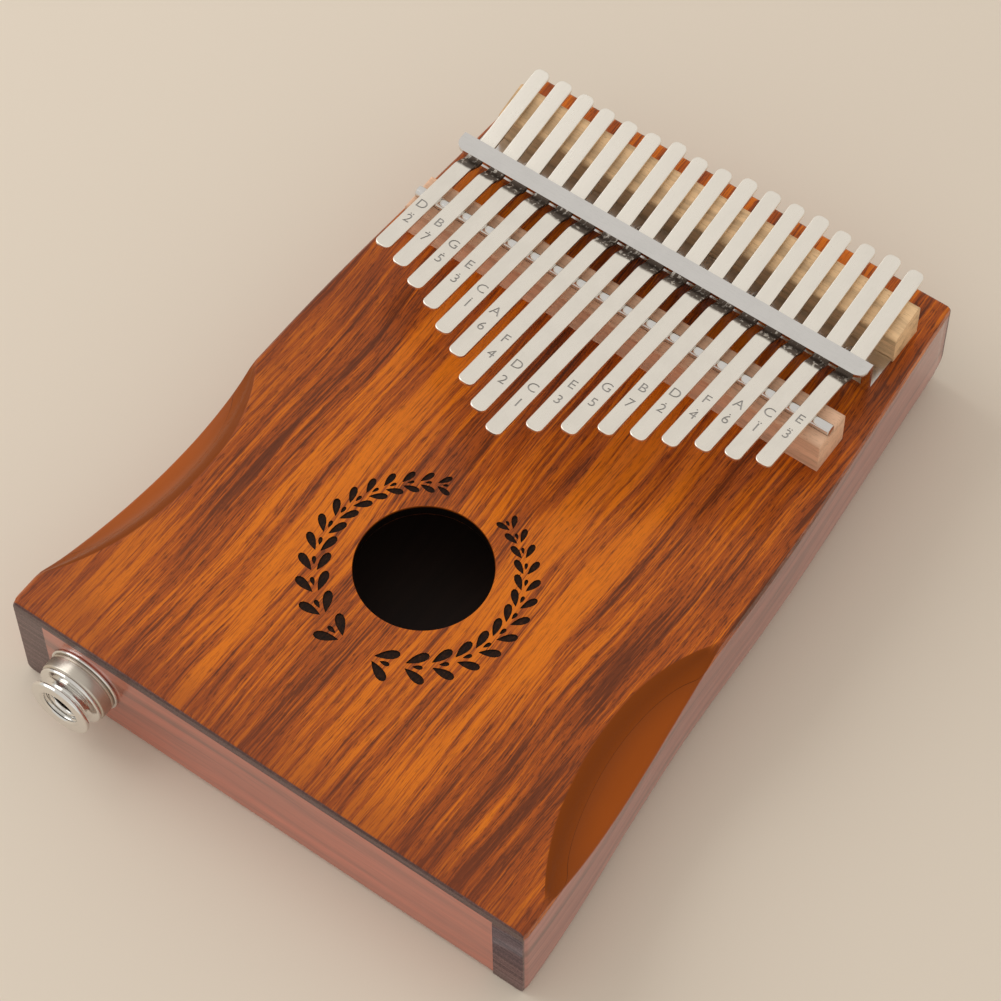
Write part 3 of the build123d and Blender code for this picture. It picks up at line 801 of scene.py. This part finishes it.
def end_grain(finish, box):
    """Dark speckled end grain, as a colour."""
    specks = finish.noise(finish.stretched(2.2, 2.2, 2.2), detail=3.0, roughness=0.7)
    layers = finish.noise(finish.stretched(0.03, 0.03, 1.3), detail=2.0)
    return finish.ramp(specks * 0.55 + layers * 0.45, [
        (0.36, darker(box.end_grain, 0.55)), (0.5, box.end_grain), (0.64, darker(box.end_grain, 1.7)),
    ])


def char_finish(box):
    """Matt burnt wood at the bottom of the engraving."""
    finish = Finish("burnt_wood", Specular_IOR_Level=0.15)
    soot = finish.noise(finish.stretched(2.5, 1.2, 1.0), detail=3.0, roughness=0.7)
    burnt = finish.ramp(soot, [(0.35, rgb(20, 11, 8)), (0.6, rgb(44, 25, 15)), (0.75, rgb(72, 42, 22))])
    finish.set(Base_Color=burnt, Roughness=0.7 + soot * 0.2, Normal=finish.bump(soot, 0.4, 0.08))
    return finish.material


def side_finish(box):
    """Lacquered wood of the sides, orange in the scoops, with dark end grain at both ends."""
    finish = Finish("side_wood", Coat_Roughness=0.16, Coat_IOR=1.5, Specular_IOR_Level=0.1)
    waver = finish.noise(finish.stretched(0.05, 0.02, 0.1), detail=2.0) - 0.5
    height = finish.z + finish.x * 0.25 + waver * 5.0
    rings = finish.noise(
        finish.vector(height * 0.28, finish.y * 0.009, finish.x * 0.05), detail=3.0, roughness=0.6
    )
    fibres = finish.noise(
        finish.vector(height * 2.4, finish.y * 0.09, finish.x * 1.2), detail=2.0, roughness=0.6
    )
    tone = rings * 0.7 + fibres * 0.3
    colour = finish.ramp(tone, [
        (0.34, darker(box.side_wood, 0.42)), (0.46, darker(box.side_wood, 0.8)),
        (0.54, box.side_wood), (0.68, darker(box.side_wood, 1.35)),
    ])
    end = finish.step(finish.y, TAIL + 0.9, TAIL + 0.3) + finish.step(finish.y, HEAD - 0.9, HEAD - 0.3)
    end = end.math("MINIMUM", 1.0)
    colour, sheen = scooped(finish, box, colour, 1.0)
    colour = finish.mix(end, colour, end_grain(finish, box))
    relief = finish.bump(fibres, 0.1, 0.03)
    finish.set(
        Base_Color=colour, Roughness=0.36 + end * 0.2, Coat_Weight=sheen * (1 - end * 0.5), Normal=relief
    )
    return finish.material


def panel_finish(box):
    """Lacquered wood of the end panels, with a faint grain across the box."""
    finish = Finish("panel_wood", Coat_Roughness=0.16, Coat_IOR=1.5, Specular_IOR_Level=0.4)
    waver = finish.noise(finish.stretched(0.02, 0.1, 0.06), detail=2.0) - 0.5
    height = finish.z + waver * 7.0
    rings = finish.noise(
        finish.vector(finish.x * 0.012, finish.y * 0.3, height * 0.22), detail=3.0, roughness=0.55
    )
    fibres = finish.noise(
        finish.vector(finish.x * 0.1, finish.y * 1.5, height * 2.2), detail=2.0, roughness=0.6
    )
    tone = rings * 0.75 + fibres * 0.25
    colour = finish.ramp(tone, [
        (0.34, darker(box.panel_wood, 0.5)), (0.47, darker(box.panel_wood, 0.85)),
        (0.56, box.panel_wood), (0.7, darker(box.panel_wood, 1.3)),
    ])
    # Painted shade on the panels' inner faces, inside the box.
    inner = finish.step(finish.y, TAIL + 5.0, TAIL + 5.5) * finish.step(finish.y, HEAD - 5.0, HEAD - 5.5)
    colour = finish.mix(inner * 0.85, colour, rgb(48, 30, 22))
    relief = finish.bump(fibres, 0.1, 0.03)
    finish.set(Base_Color=colour, Roughness=0.36, Coat_Weight=1.0 - inner, Normal=relief)
    return finish.material


def back_finish(box):
    """The back: lacquered outside, with painted shade inside."""
    finish = Finish("back_wood", Coat_Roughness=0.2, Coat_IOR=1.5, Specular_IOR_Level=0.4)
    drift = finish.noise(finish.stretched(0.03, 0.012, 0.03), detail=1.0) - 0.5
    across = finish.x + 9.0 * drift
    rings = finish.noise(finish.vector(across * 0.3, finish.y * 0.012, 0.0), detail=3.5, roughness=0.6)
    pores = finish.noise(finish.vector(across * 4.0, finish.y * 0.5, 0.0), detail=2.0)
    pore = finish.step(pores, 0.58, 0.7)
    colour = finish.ramp(rings, [
        (0.34, darker(box.dark_wood, 0.9)), (0.46, darker(box.warm_wood, 0.7)),
        (0.56, darker(box.warm_wood, 0.95)), (0.68, mixed(box.warm_wood, box.light_wood, 0.4)),
    ])
    colour = finish.mix(pore * 0.5, colour, darker(box.dark_wood, 0.6))
    # Painted shade on the back's inner face, inside the box.
    inner = finish.step(finish.z, BACK_INNER - 0.4, BACK_INNER - 0.1)
    colour = finish.mix(inner, colour, finish.mix(rings, rgb(22, 13, 10), rgb(52, 32, 22)))
    relief = finish.bump(pore * -1.0 + rings, 0.2, 0.04)
    finish.set(
        Base_Color=colour, Roughness=0.4 + inner * 0.3, Coat_Weight=0.5 - inner * 0.5, Normal=relief
    )
    return finish.material


def plain_wood(name, light, dark, contrast=1.0):
    """Close-grained bare wood with short flecks, its grain along X."""
    finish = Finish(name, Specular_IOR_Level=0.35)
    waver = finish.noise(finish.stretched(0.04, 0.04, 0.15), detail=2.0) - 0.5
    rings = finish.noise(
        finish.vector(finish.x * 0.016, finish.y * 0.4 + waver * 2.5, finish.z * 0.42),
        detail=3.0, roughness=0.6,
    )
    flecks = finish.noise(
        finish.vector(finish.x * 0.5, finish.y * 3.2, finish.z * 3.2), detail=2.0, roughness=0.6
    )
    fleck = finish.step(flecks, 0.55, 0.7)
    spread = 0.13 / contrast
    stops = [(0.5 - spread, dark), (0.5, mixed(dark, light, 0.65)), (0.5 + spread, light)]
    colour = finish.ramp(rings, stops)
    colour = finish.mix(fleck * 0.55, colour, darker(dark, 0.72))
    relief = finish.bump(flecks, 0.2, 0.05)
    finish.set(Base_Color=colour, Roughness=0.5 + fleck * 0.15, Normal=relief)
    return finish.material


# ---- Metal and plastic finishes ----
def brushed(name, colour, roughness, grain, tarnish=0.12, over=None):
    """Metal with a fine directional grain and a faint uneven lustre; grain is its scale on each axis.

    Over may lay one more colour on it, from the finish, the colour so far and the clouds in it.
    """
    finish = Finish(name, Metallic=1.0)
    marks = finish.noise(finish.stretched(*grain), detail=3.0, roughness=0.65)
    clouds = finish.noise(finish.stretched(0.22, 0.16, 0.22), detail=3.0, roughness=0.55)
    shade = finish.mix(finish.step(clouds, 0.35, 0.7) * tarnish, colour, darker(colour, 0.62))
    shade = finish.mix(finish.step(marks, 0.45, 0.75) * tarnish * 1.5, shade, darker(colour, 0.72))
    if over:
        shade = over(finish, shade, clouds)
    dulled = roughness + (marks - 0.5) * 0.14 + (clouds - 0.5) * 0.1
    finish.set(Base_Color=shade, Roughness=dulled, Normal=finish.bump(marks, 0.25, 0.02))
    return finish.material


def dipped_steel(finish, shade, clouds):
    """Painted dark reflection laid over the stretch where the tines dip under the bracket's flange, broken
    by spots of painted glints.
    """
    tines = bpy.context.scene.mbira_tines
    flange = span("clamp_bracket")[0].y
    ragged = finish.y + (clouds - 0.5) * 1.6
    begins = finish.step(ragged, flange - tines.dip - 0.3, flange - tines.dip + 0.7)
    ends = finish.step(finish.y, flange + 1.4, flange + 0.4)
    spots = finish.noise(finish.stretched(1.3, 0.5, 1.3), detail=2.0)
    # Spots where the painted dark reflection gives way to bright steel, as painted glints.
    painted_glints = finish.step(spots, 0.56, 0.66)
    return finish.mix(begins * ends * (0.92 - painted_glints * 0.6), shade, tines.dipped)


def turned_metal(name, colour, roughness, pitch, x, z):
    """Metal turned on a lathe about the jack's axis, with fine rings round it."""
    finish = Finish(name, Metallic=1.0)
    radius = finish.reach(finish.x - x, 0.0, finish.z - z)
    rings = finish.noise(finish.vector(radius * pitch, finish.y * pitch, 0.0), detail=2.0, roughness=0.6)
    clouds = finish.noise(finish.stretched(0.4, 0.4, 0.4), detail=2.0)
    shade = finish.mix(finish.step(rings, 0.45, 0.75) * 0.3, colour, darker(colour, 0.6))
    dulled = roughness + (rings - 0.5) * 0.16 + (clouds - 0.5) * 0.08
    finish.set(Base_Color=shade, Roughness=dulled, Normal=finish.bump(rings, 0.3, 0.02))
    return finish.material


def moulded(name, colour, roughness=0.45, grain=3.0):
    """Moulded plastic with a fine orange-peel surface."""
    finish = Finish(name, Specular_IOR_Level=0.45)
    peel = finish.noise(finish.stretched(grain, grain, grain), detail=2.0)
    dust = finish.noise(finish.stretched(0.5, 0.5, 0.5), detail=3.0)
    shade = finish.mix(finish.step(dust, 0.45, 0.75) * 0.35, colour, mixed(colour, (0.3, 0.28, 0.26), 0.25))
    relief = finish.bump(peel, 0.2, 0.04)
    finish.set(Base_Color=shade, Roughness=roughness + (dust - 0.5) * 0.2, Normal=relief)
    return finish.material


# ---- Tines ----
NOTES = "D B G E C A F D C E G B D F A C E".split()
DEGREES = "2 7 5 3 1 6 4 2 1 3 5 7 2 4 6 1 3".split()
OCTAVE_DOTS = [2, 1, 1, 1, 1, 0, 0, 0, 0, 0, 0, 0, 1, 1, 1, 2, 2]


def tine_line(tines, number):
    """A tine's middle line of (y, z) points from its tip to its rear end, with soft bends."""
    half = tines.thickness / 2
    tongue_low, tongue_high = span(f"tine_tongue_{number:02d}")
    flange_low, flange_high = span("clamp_bracket")
    pressed = flange_high.z - tines.sheet - tines.gap - half
    tip = (tongue_low.y, tongue_high.z - half)
    split = (tongue_high.y, tongue_low.z + half)
    slope = (split[1] - tip[1]) / (split[0] - tip[0])
    dip = flange_low.y - tines.dip
    web = flange_low.y + tines.web
    rear = span(f"tine_root_{number:02d}")[1].y
    corners = [
        tip, (dip, split[1] + (dip - split[0]) * slope), (flange_low.y - tines.sheet / 2, pressed),
        (web, pressed), (rear, pressed + (rear - web + tines.sheet) * tines.rear_slope),
    ]
    bends = [1.1, 0.9, 1.4]
    return rounded(corners, bends, 5)


def height_on(line, y):
    """Height of a line of (y, z) points at y."""
    number = min(max(bisect_right([point[0] for point in line], y), 1), len(line) - 1)
    (y0, z0), (y1, z1) = line[number - 1], line[number]
    return z0 + (z1 - z0) * (y - y0) / (y1 - y0)


def tine_blank(tines, number):
    """A tine as one bent strip with rounded corners and edges."""
    line = tine_line(tines, number)
    low = span(f"tine_root_{number:02d}")[0].x
    start, end = line[0][0], line[-1][0]
    bm = bmesh.new()
    corners = ((low, start), (low + tines.width, start), (low + tines.width, end), (low, end))
    bm.faces.new([bm.verts.new((x, y, 0)) for x, y in corners])
    bmesh.ops.bevel(
        bm, geom=bm.verts[:], affect="VERTICES", offset=tines.tip_corner, segments=7,
        profile=0.5, material=-1,
    )
    split = span(f"tine_tongue_{number:02d}")[1].y
    past_corner = tines.tip_corner * 1.5
    flexing = 5.0
    cuts = [point[0] for point in line[1:-1]]
    cuts += [start + past_corner, end - past_corner]
    cuts += [start + (split - flexing - start) * step / 6 for step in range(2, 7)]
    cuts += [split - step for step in range(-2, 5)]
    for y in sorted(cuts):
        bmesh.ops.bisect_plane(bm, geom=everything(bm), plane_co=(0, y, 0), plane_no=(0, 1, 0))
    bmesh.ops.solidify(bm, geom=bm.faces[:], thickness=tines.thickness)
    bmesh.ops.recalc_face_normals(bm, faces=bm.faces)
    sharp = math.radians(60)
    rims = [edge for edge in bm.edges if edge.calc_face_angle(0.0) > sharp]
    bmesh.ops.bevel(
        bm, geom=rims, affect="EDGES", offset=tines.edge, segments=3, profile=0.5, material=-1,
        clamp_overlap=True,
    )
    middle = (max(vert.co.z for vert in bm.verts) + min(vert.co.z for vert in bm.verts)) / 2
    for vert in bm.verts:
        vert.co.z += height_on(line, vert.co.y) - middle
    return bm


def stamp_cutter(tines, number, material):
    """Note letter and scale degree as upright prisms that stand in the tine's upper face."""
    line = tine_line(tines, number)
    low = span(f"tine_root_{number:02d}")[0].x
    tip_y = line[0][0]
    slope = math.atan2(line[1][1] - line[0][1], line[1][0] - line[0][0])
    letter_place, dots_place, degree_place = 15.6, 12.7, 10.2
    rows = [
        (NOTES[number - 1], letter_place, tines.stamp_size),
        (DEGREES[number - 1], degree_place, tines.stamp_size),
        ("." * OCTAVE_DOTS[number - 1], dots_place, tines.stamp_size * 0.8),
    ]
    size_for_height = 1.36
    half_depth = 0.5
    bm = bmesh.new()
    for text, from_tip, size in rows:
        if not text:
            continue
        curve = bpy.data.curves.new("stamp", "FONT")
        curve.body = text
        curve.size = size * size_for_height
        curve.align_x = "CENTER"
        curve.align_y = "CENTER"
        curve.extrude = half_depth
        curve.resolution_u = 4
        lettering = bpy.data.objects.new("stamp", curve)
        bpy.context.scene.collection.objects.link(lettering)
        graph = bpy.context.evaluated_depsgraph_get()
        mesh = bpy.data.meshes.new_from_object(lettering.evaluated_get(graph), depsgraph=graph)
        y = tip_y + from_tip
        surface = height_on(line, y) + tines.thickness / 2
        place = Matrix.Translation((low + tines.width / 2, y, surface)) @ Matrix.Rotation(slope, 4, "X")
        mesh.transform(place @ Matrix.Translation((0, 0, half_depth - tines.stamp_depth)))
        bm.from_mesh(mesh)
        bpy.data.objects.remove(lettering)
        bpy.data.meshes.remove(mesh)
    bmesh.ops.remove_doubles(bm, verts=bm.verts, dist=1e-3)
    bmesh.ops.recalc_face_normals(bm, faces=bm.faces)
    return finished("stamp_cutter", bm, (), (material,), body=None)


class MBIRA_OT_tines(bpy.types.Operator):
    """Seventeen tines, each one bent strip"""

    bl_idname = "mbira.tines"
    bl_label = "Tines"

    def execute(self, context):
        tines = context.scene.mbira_tines
        # The tine steel carries a painted dark reflection where the tines dip under the flange.
        steel = brushed("tine_steel", tines.steel, 0.3, (5.0, 0.35, 5.0), over=dipped_steel)
        # The stamps' foot is duller steel, darkened further as painted shade in the recess.
        stamped = brushed("stamped_steel", tines.stamped, 0.5, (4.0, 4.0, 4.0), tarnish=0.3)
        for number in range(1, TINE_COUNT + 1):
            names = [f"tine_root_{number:02d}", f"tine_tongue_{number:02d}"]
            tine = finished(f"tine_{number:02d}", tine_blank(tines, number), (), (steel,), body=None)
            cut(tine, stamp_cutter(tines, number, stamped))
            smooth(tine, angle=35.0)
            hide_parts(*names)
            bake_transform(tine)
        return {"FINISHED"}


# ---- Bridges, rod, bracket and screws ----
def softened(node, name, width, material):
    """A copy of a CAD node with its sharp edges broken, which stands for the node."""
    sharp = math.radians(40.0)
    bm = bmesh.new()
    bm.from_mesh(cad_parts[node].data)
    bmesh.ops.scale(bm, vec=(1 / MM,) * 3, verts=bm.verts)
    bmesh.ops.remove_doubles(bm, verts=bm.verts, dist=2e-3)
    bmesh.ops.dissolve_limit(
        bm, angle_limit=math.radians(1.0), use_dissolve_boundaries=False, verts=bm.verts, edges=bm.edges
    )
    edges = [edge for edge in bm.edges if edge.calc_face_angle(0.0) > sharp]
    bmesh.ops.bevel(
        bm, geom=edges, affect="EDGES", offset=width, segments=3, profile=0.5, material=-1,
        clamp_overlap=True,
    )
    return smooth(finished(name, bm, [node], (material,)))


class MBIRA_OT_bridges(bpy.types.Operator):
    """Front bridge, saddle rod and rear bridge"""

    bl_idname = "mbira.bridges"
    bl_label = "Bridges"

    def execute(self, context):
        tines = context.scene.mbira_tines
        front, rear = tines.front_wood, tines.rear_wood
        dress("front_bridge", plain_wood("front_bridge_wood", front, darker(front, 0.72), contrast=0.8))
        dress("rear_bridge", plain_wood("rear_bridge_wood", rear, darker(rear, 0.66), contrast=0.9))
        dress("saddle_rod", brushed("polished_rod", tines.bright, 0.14, (0.3, 4.0, 4.0), tarnish=0.08))
        return {"FINISHED"}


class MBIRA_OT_bracket(bpy.types.Operator):
    """Clamp bracket with folded edges, and its screws"""

    bl_idname = "mbira.bracket"
    bl_label = "Bracket"

    def execute(self, context):
        tines = context.scene.mbira_tines
        bright = brushed("polished_bracket", tines.bright, 0.2, (0.4, 3.0, 3.0), tarnish=0.1)
        softened("clamp_bracket", "folded_bracket", 0.22, bright)
        dress("bracket_screws", brushed("screw_steel", tines.bright, 0.26, (3.0, 3.0, 3.0), tarnish=0.2))
        return {"FINISHED"}


# ---- Jack and pickup ----
def threaded(jack, radius, start, end, inward=False):
    """Profile points of a row of thread grooves from one distance to another."""
    count = max(1, round(abs(end - start) / jack.thread_pitch))
    step = (end - start) / count
    crest = radius + jack.thread_depth if inward else radius - jack.thread_depth
    points = []
    for number in range(count):
        y = start + number * step
        points += [(radius, y), (radius, y + 0.25 * step), (crest, y + 0.6 * step)]
    return points + [(radius, end)]


class MBIRA_OT_jack(bpy.types.Operator):
    """End-pin jack: washer, collar, strap button, threaded barrel and what is behind the panel"""

    bl_idname = "mbira.jack"
    bl_label = "Jack"

    def execute(self, context):
        jack = context.scene.mbira_jack
        low, high = span("jack_washer")
        self.x, self.z = (low.x + high.x) / 2, (low.z + high.z) / 2
        self.facets = jack.facets
        nickel = turned_metal("jack_nickel", jack.nickel, 0.12, 2.5, self.x, self.z)
        satin = turned_metal("satin_nickel", jack.satin, 0.3, 5.0, self.x, self.z)
        self.washer(nickel)
        self.collar(satin)
        self.button(jack, nickel)
        self.barrel(jack, nickel)
        dress("jack_star_washer", brushed("washer_steel", jack.satin, 0.32, (3.0, 3.0, 3.0), tarnish=0.2))
        dress("jack_inner_nut", satin)
        black = moulded("black_insulator", jack.plastic)
        dress("jack_insulator", black)
        dress("lead_clips", black)
        bronze = brushed("contact_bronze", jack.bronze, 0.3, (4.0, 0.6, 4.0), tarnish=0.2)
        dress("jack_tip_spring", bronze)
        dress("solder_lugs", bronze)
        dress("piezo_disc", brushed("pickup_brass", jack.brass, 0.32, (2.0, 2.0, 2.0), tarnish=0.25))
        dress("pickup_lead", moulded("lead_jacket", jack.jacket, roughness=0.5, grain=6.0))
        return {"FINISHED"}

    def ring(self, name, node, profile, material, slot):
        """A turned piece that stands for a CAD node."""
        piece = finished(name, turned(profile, self.x, self.z, self.facets), [node], (material,))
        return smooth(piece)

    def washer(self, material):
        low, high = span("jack_washer")
        outer, inner, rim = (high.x - low.x) / 2, 6.05, 0.9
        corners = [
            (inner, high.y), (outer, high.y), (outer, low.y), (outer - rim, low.y), (inner, low.y),
            (inner, high.y),
        ]
        profile = rounded(corners, [0.3, 0.3, 0.3, 0.1], 4)
        self.ring("bright_washer", "jack_washer", profile[:-1], material, "jack_nickel")

    def collar(self, material):
        low, high = span("jack_collar_nut")
        outer, inner = (high.x - low.x) / 2, 6.0
        groove = high.y - 0.75
        corners = [
            (inner, high.y), (outer - 0.25, high.y), (outer, high.y - 0.25), (outer, groove + 0.15),
            (outer - 0.22, groove), (outer, groove - 0.15), (outer, low.y + 0.35), (outer - 0.35, low.y),
            (inner, low.y), (inner, high.y),
        ]
        profile = rounded(corners, [0.12, 0.12, 0.05, 0.08, 0.05, 0.15, 0.15, 0.1], 3)
        self.ring("turned_collar", "jack_collar_nut", profile[:-1], material, "satin_nickel")

    def button(self, jack, material):
        low, high = span("strap_button")
        rear, lip, neck, bore = 8.25, 7.8, 5.3, 4.55
        corners = [
            (bore, high.y), (rear, high.y), (rear, high.y - 0.85), (neck + 0.9, high.y - 1.15),
            (neck, high.y - 2.1), (neck, low.y + 2.0), (neck + 0.6, low.y + 1.35), (lip, low.y + 1.15),
            (lip, low.y), (bore + 0.5, low.y), (bore, low.y + 0.45),
        ]
        softness = [0.25, 0.35, 0.4, 0.9, 0.5, 0.4, 0.45, 0.45, 0.3]
        outline = rounded(corners, softness, 4)
        bore_line = threaded(jack, bore, low.y + 0.5, high.y - 0.2, inward=True)
        self.ring("strap_button_turned", "strap_button", outline + bore_line, material, "jack_nickel")

    def barrel(self, jack, material):
        low, high = span("jack_barrel")
        nose, body, bore = 4.4, 5.85, 3.25
        shoulder = span("jack_collar_nut")[0].y
        corners = [
            (bore, high.y), (body - 0.5, high.y), (body, high.y - 0.5), (body, high.y - 2.0),
        ]
        profile = rounded(corners, [0.1, 0.3], 3)
        profile += threaded(jack, body, high.y - 2.0, shoulder + 0.5)
        profile += rounded([(body, shoulder), (nose, shoulder), (nose, low.y + 0.4)], [0.2], 3)
        profile += rounded(
            [(nose, low.y + 0.4), (nose - 0.3, low.y), (bore + 0.35, low.y), (bore, low.y + 0.5),
             (bore, high.y - 0.1)], [0.15, 0.2, 0.3], 3,
        )[1:]
        self.ring("threaded_barrel", "jack_barrel", profile, material, "jack_nickel")


# ---- Stage ----
class MBIRA_OT_stage(bpy.types.Operator):
    """Plain pale floor, soft lamps and the camera"""

    bl_idname = "mbira.stage"
    bl_label = "Stage"

    def execute(self, context):
        stage = context.scene.mbira_stage
        self.floor(stage)
        self.surroundings(context, stage)
        self.lamp("key", stage.key_power, stage.key_size, stage.key_place)
        self.lamp("fill", stage.fill_power, stage.fill_size, stage.fill_place)
        camera = bpy.data.cameras.new("camera")
        camera.lens = stage.lens
        camera.clip_start = 0.01
        view = bpy.data.objects.new("camera", camera)
        view.location = stage.camera_place
        view.rotation_euler = stage.camera_turn
        context.scene.collection.objects.link(view)
        context.scene.camera = view
        context.scene.view_settings.view_transform = "Standard"
        return {"FINISHED"}

    def floor(self, stage):
        """A wide floor that the box stands on."""
        bm = bmesh.new()
        bmesh.ops.create_circle(bm, cap_ends=True, segments=96, radius=stage.floor_radius)
        finish = Finish("floor", Specular_IOR_Level=0.2)
        mottle = finish.noise(finish.stretched(0.004, 0.004, 0.004), detail=3.0)
        colour = finish.mix(mottle * 0.12, stage.floor, darker(stage.floor, 0.9))
        finish.set(Base_Color=colour, Roughness=0.8 + mottle * 0.1)
        floor = finished("floor", bm, (), (finish.material,), body=None)

    def surroundings(self, context, stage):
        """Even light from all round."""
        world = bpy.data.worlds.new("surroundings")
        world.use_nodes = True
        background = world.node_tree.nodes["Background"]
        background.inputs["Color"].default_value = (*stage.sky, 1.0)
        background.inputs["Strength"].default_value = stage.sky_strength
        context.scene.world = world

    def lamp(self, name, power, size, place):
        """A square soft lamp that faces the box."""
        light = bpy.data.lights.new(name, "AREA")
        light.energy = power
        light.size = size
        lamp = bpy.data.objects.new(name, light)
        lamp.location = place
        lamp.rotation_euler = (-Vector(place)).to_track_quat("-Z", "Y").to_euler()
        bpy.context.scene.collection.objects.link(lamp)


# ---- Add-on ----
GROUPS = {
    "mbira_box": MbiraBox, "mbira_tines": MbiraTines, "mbira_jack": MbiraJack, "mbira_stage": MbiraStage,
}
OPERATORS = (
    MBIRA_OT_soundboard, MBIRA_OT_sides, MBIRA_OT_panels, MBIRA_OT_bridges, MBIRA_OT_bracket,
    MBIRA_OT_tines, MBIRA_OT_jack, MBIRA_OT_stage,
)


class MBIRA_PT_panel(bpy.types.Panel):
    """Lists what the add-on builds, and its settings"""

    bl_idname = "MBIRA_PT_panel"
    bl_label = "Box mbira"
    bl_space_type = "VIEW_3D"
    bl_region_type = "UI"
    bl_category = "Mbira"

    def draw(self, context):
        for operator in OPERATORS:
            self.layout.operator(operator.bl_idname)
        for name, group in GROUPS.items():
            settings = getattr(context.scene, name)
            section = self.layout.box()
            for key in group.__annotations__:
                section.prop(settings, key)


def register():
    for name, group in GROUPS.items():
        bpy.utils.register_class(group)
        setattr(bpy.types.Scene, name, PointerProperty(type=group))
    for kind in (*OPERATORS, MBIRA_PT_panel):
        bpy.utils.register_class(kind)


def unregister():
    for kind in (MBIRA_PT_panel, *reversed(OPERATORS)):
        bpy.utils.unregister_class(kind)
    for name, group in reversed(GROUPS.items()):
        delattr(bpy.types.Scene, name)
        bpy.utils.unregister_class(group)


def main():
    """Build every piece."""
    register()
    for operator in OPERATORS:
        family, name = operator.bl_idname.split(".")
        getattr(getattr(bpy.ops, family), name)()


if __name__ == "__main__":
    main()
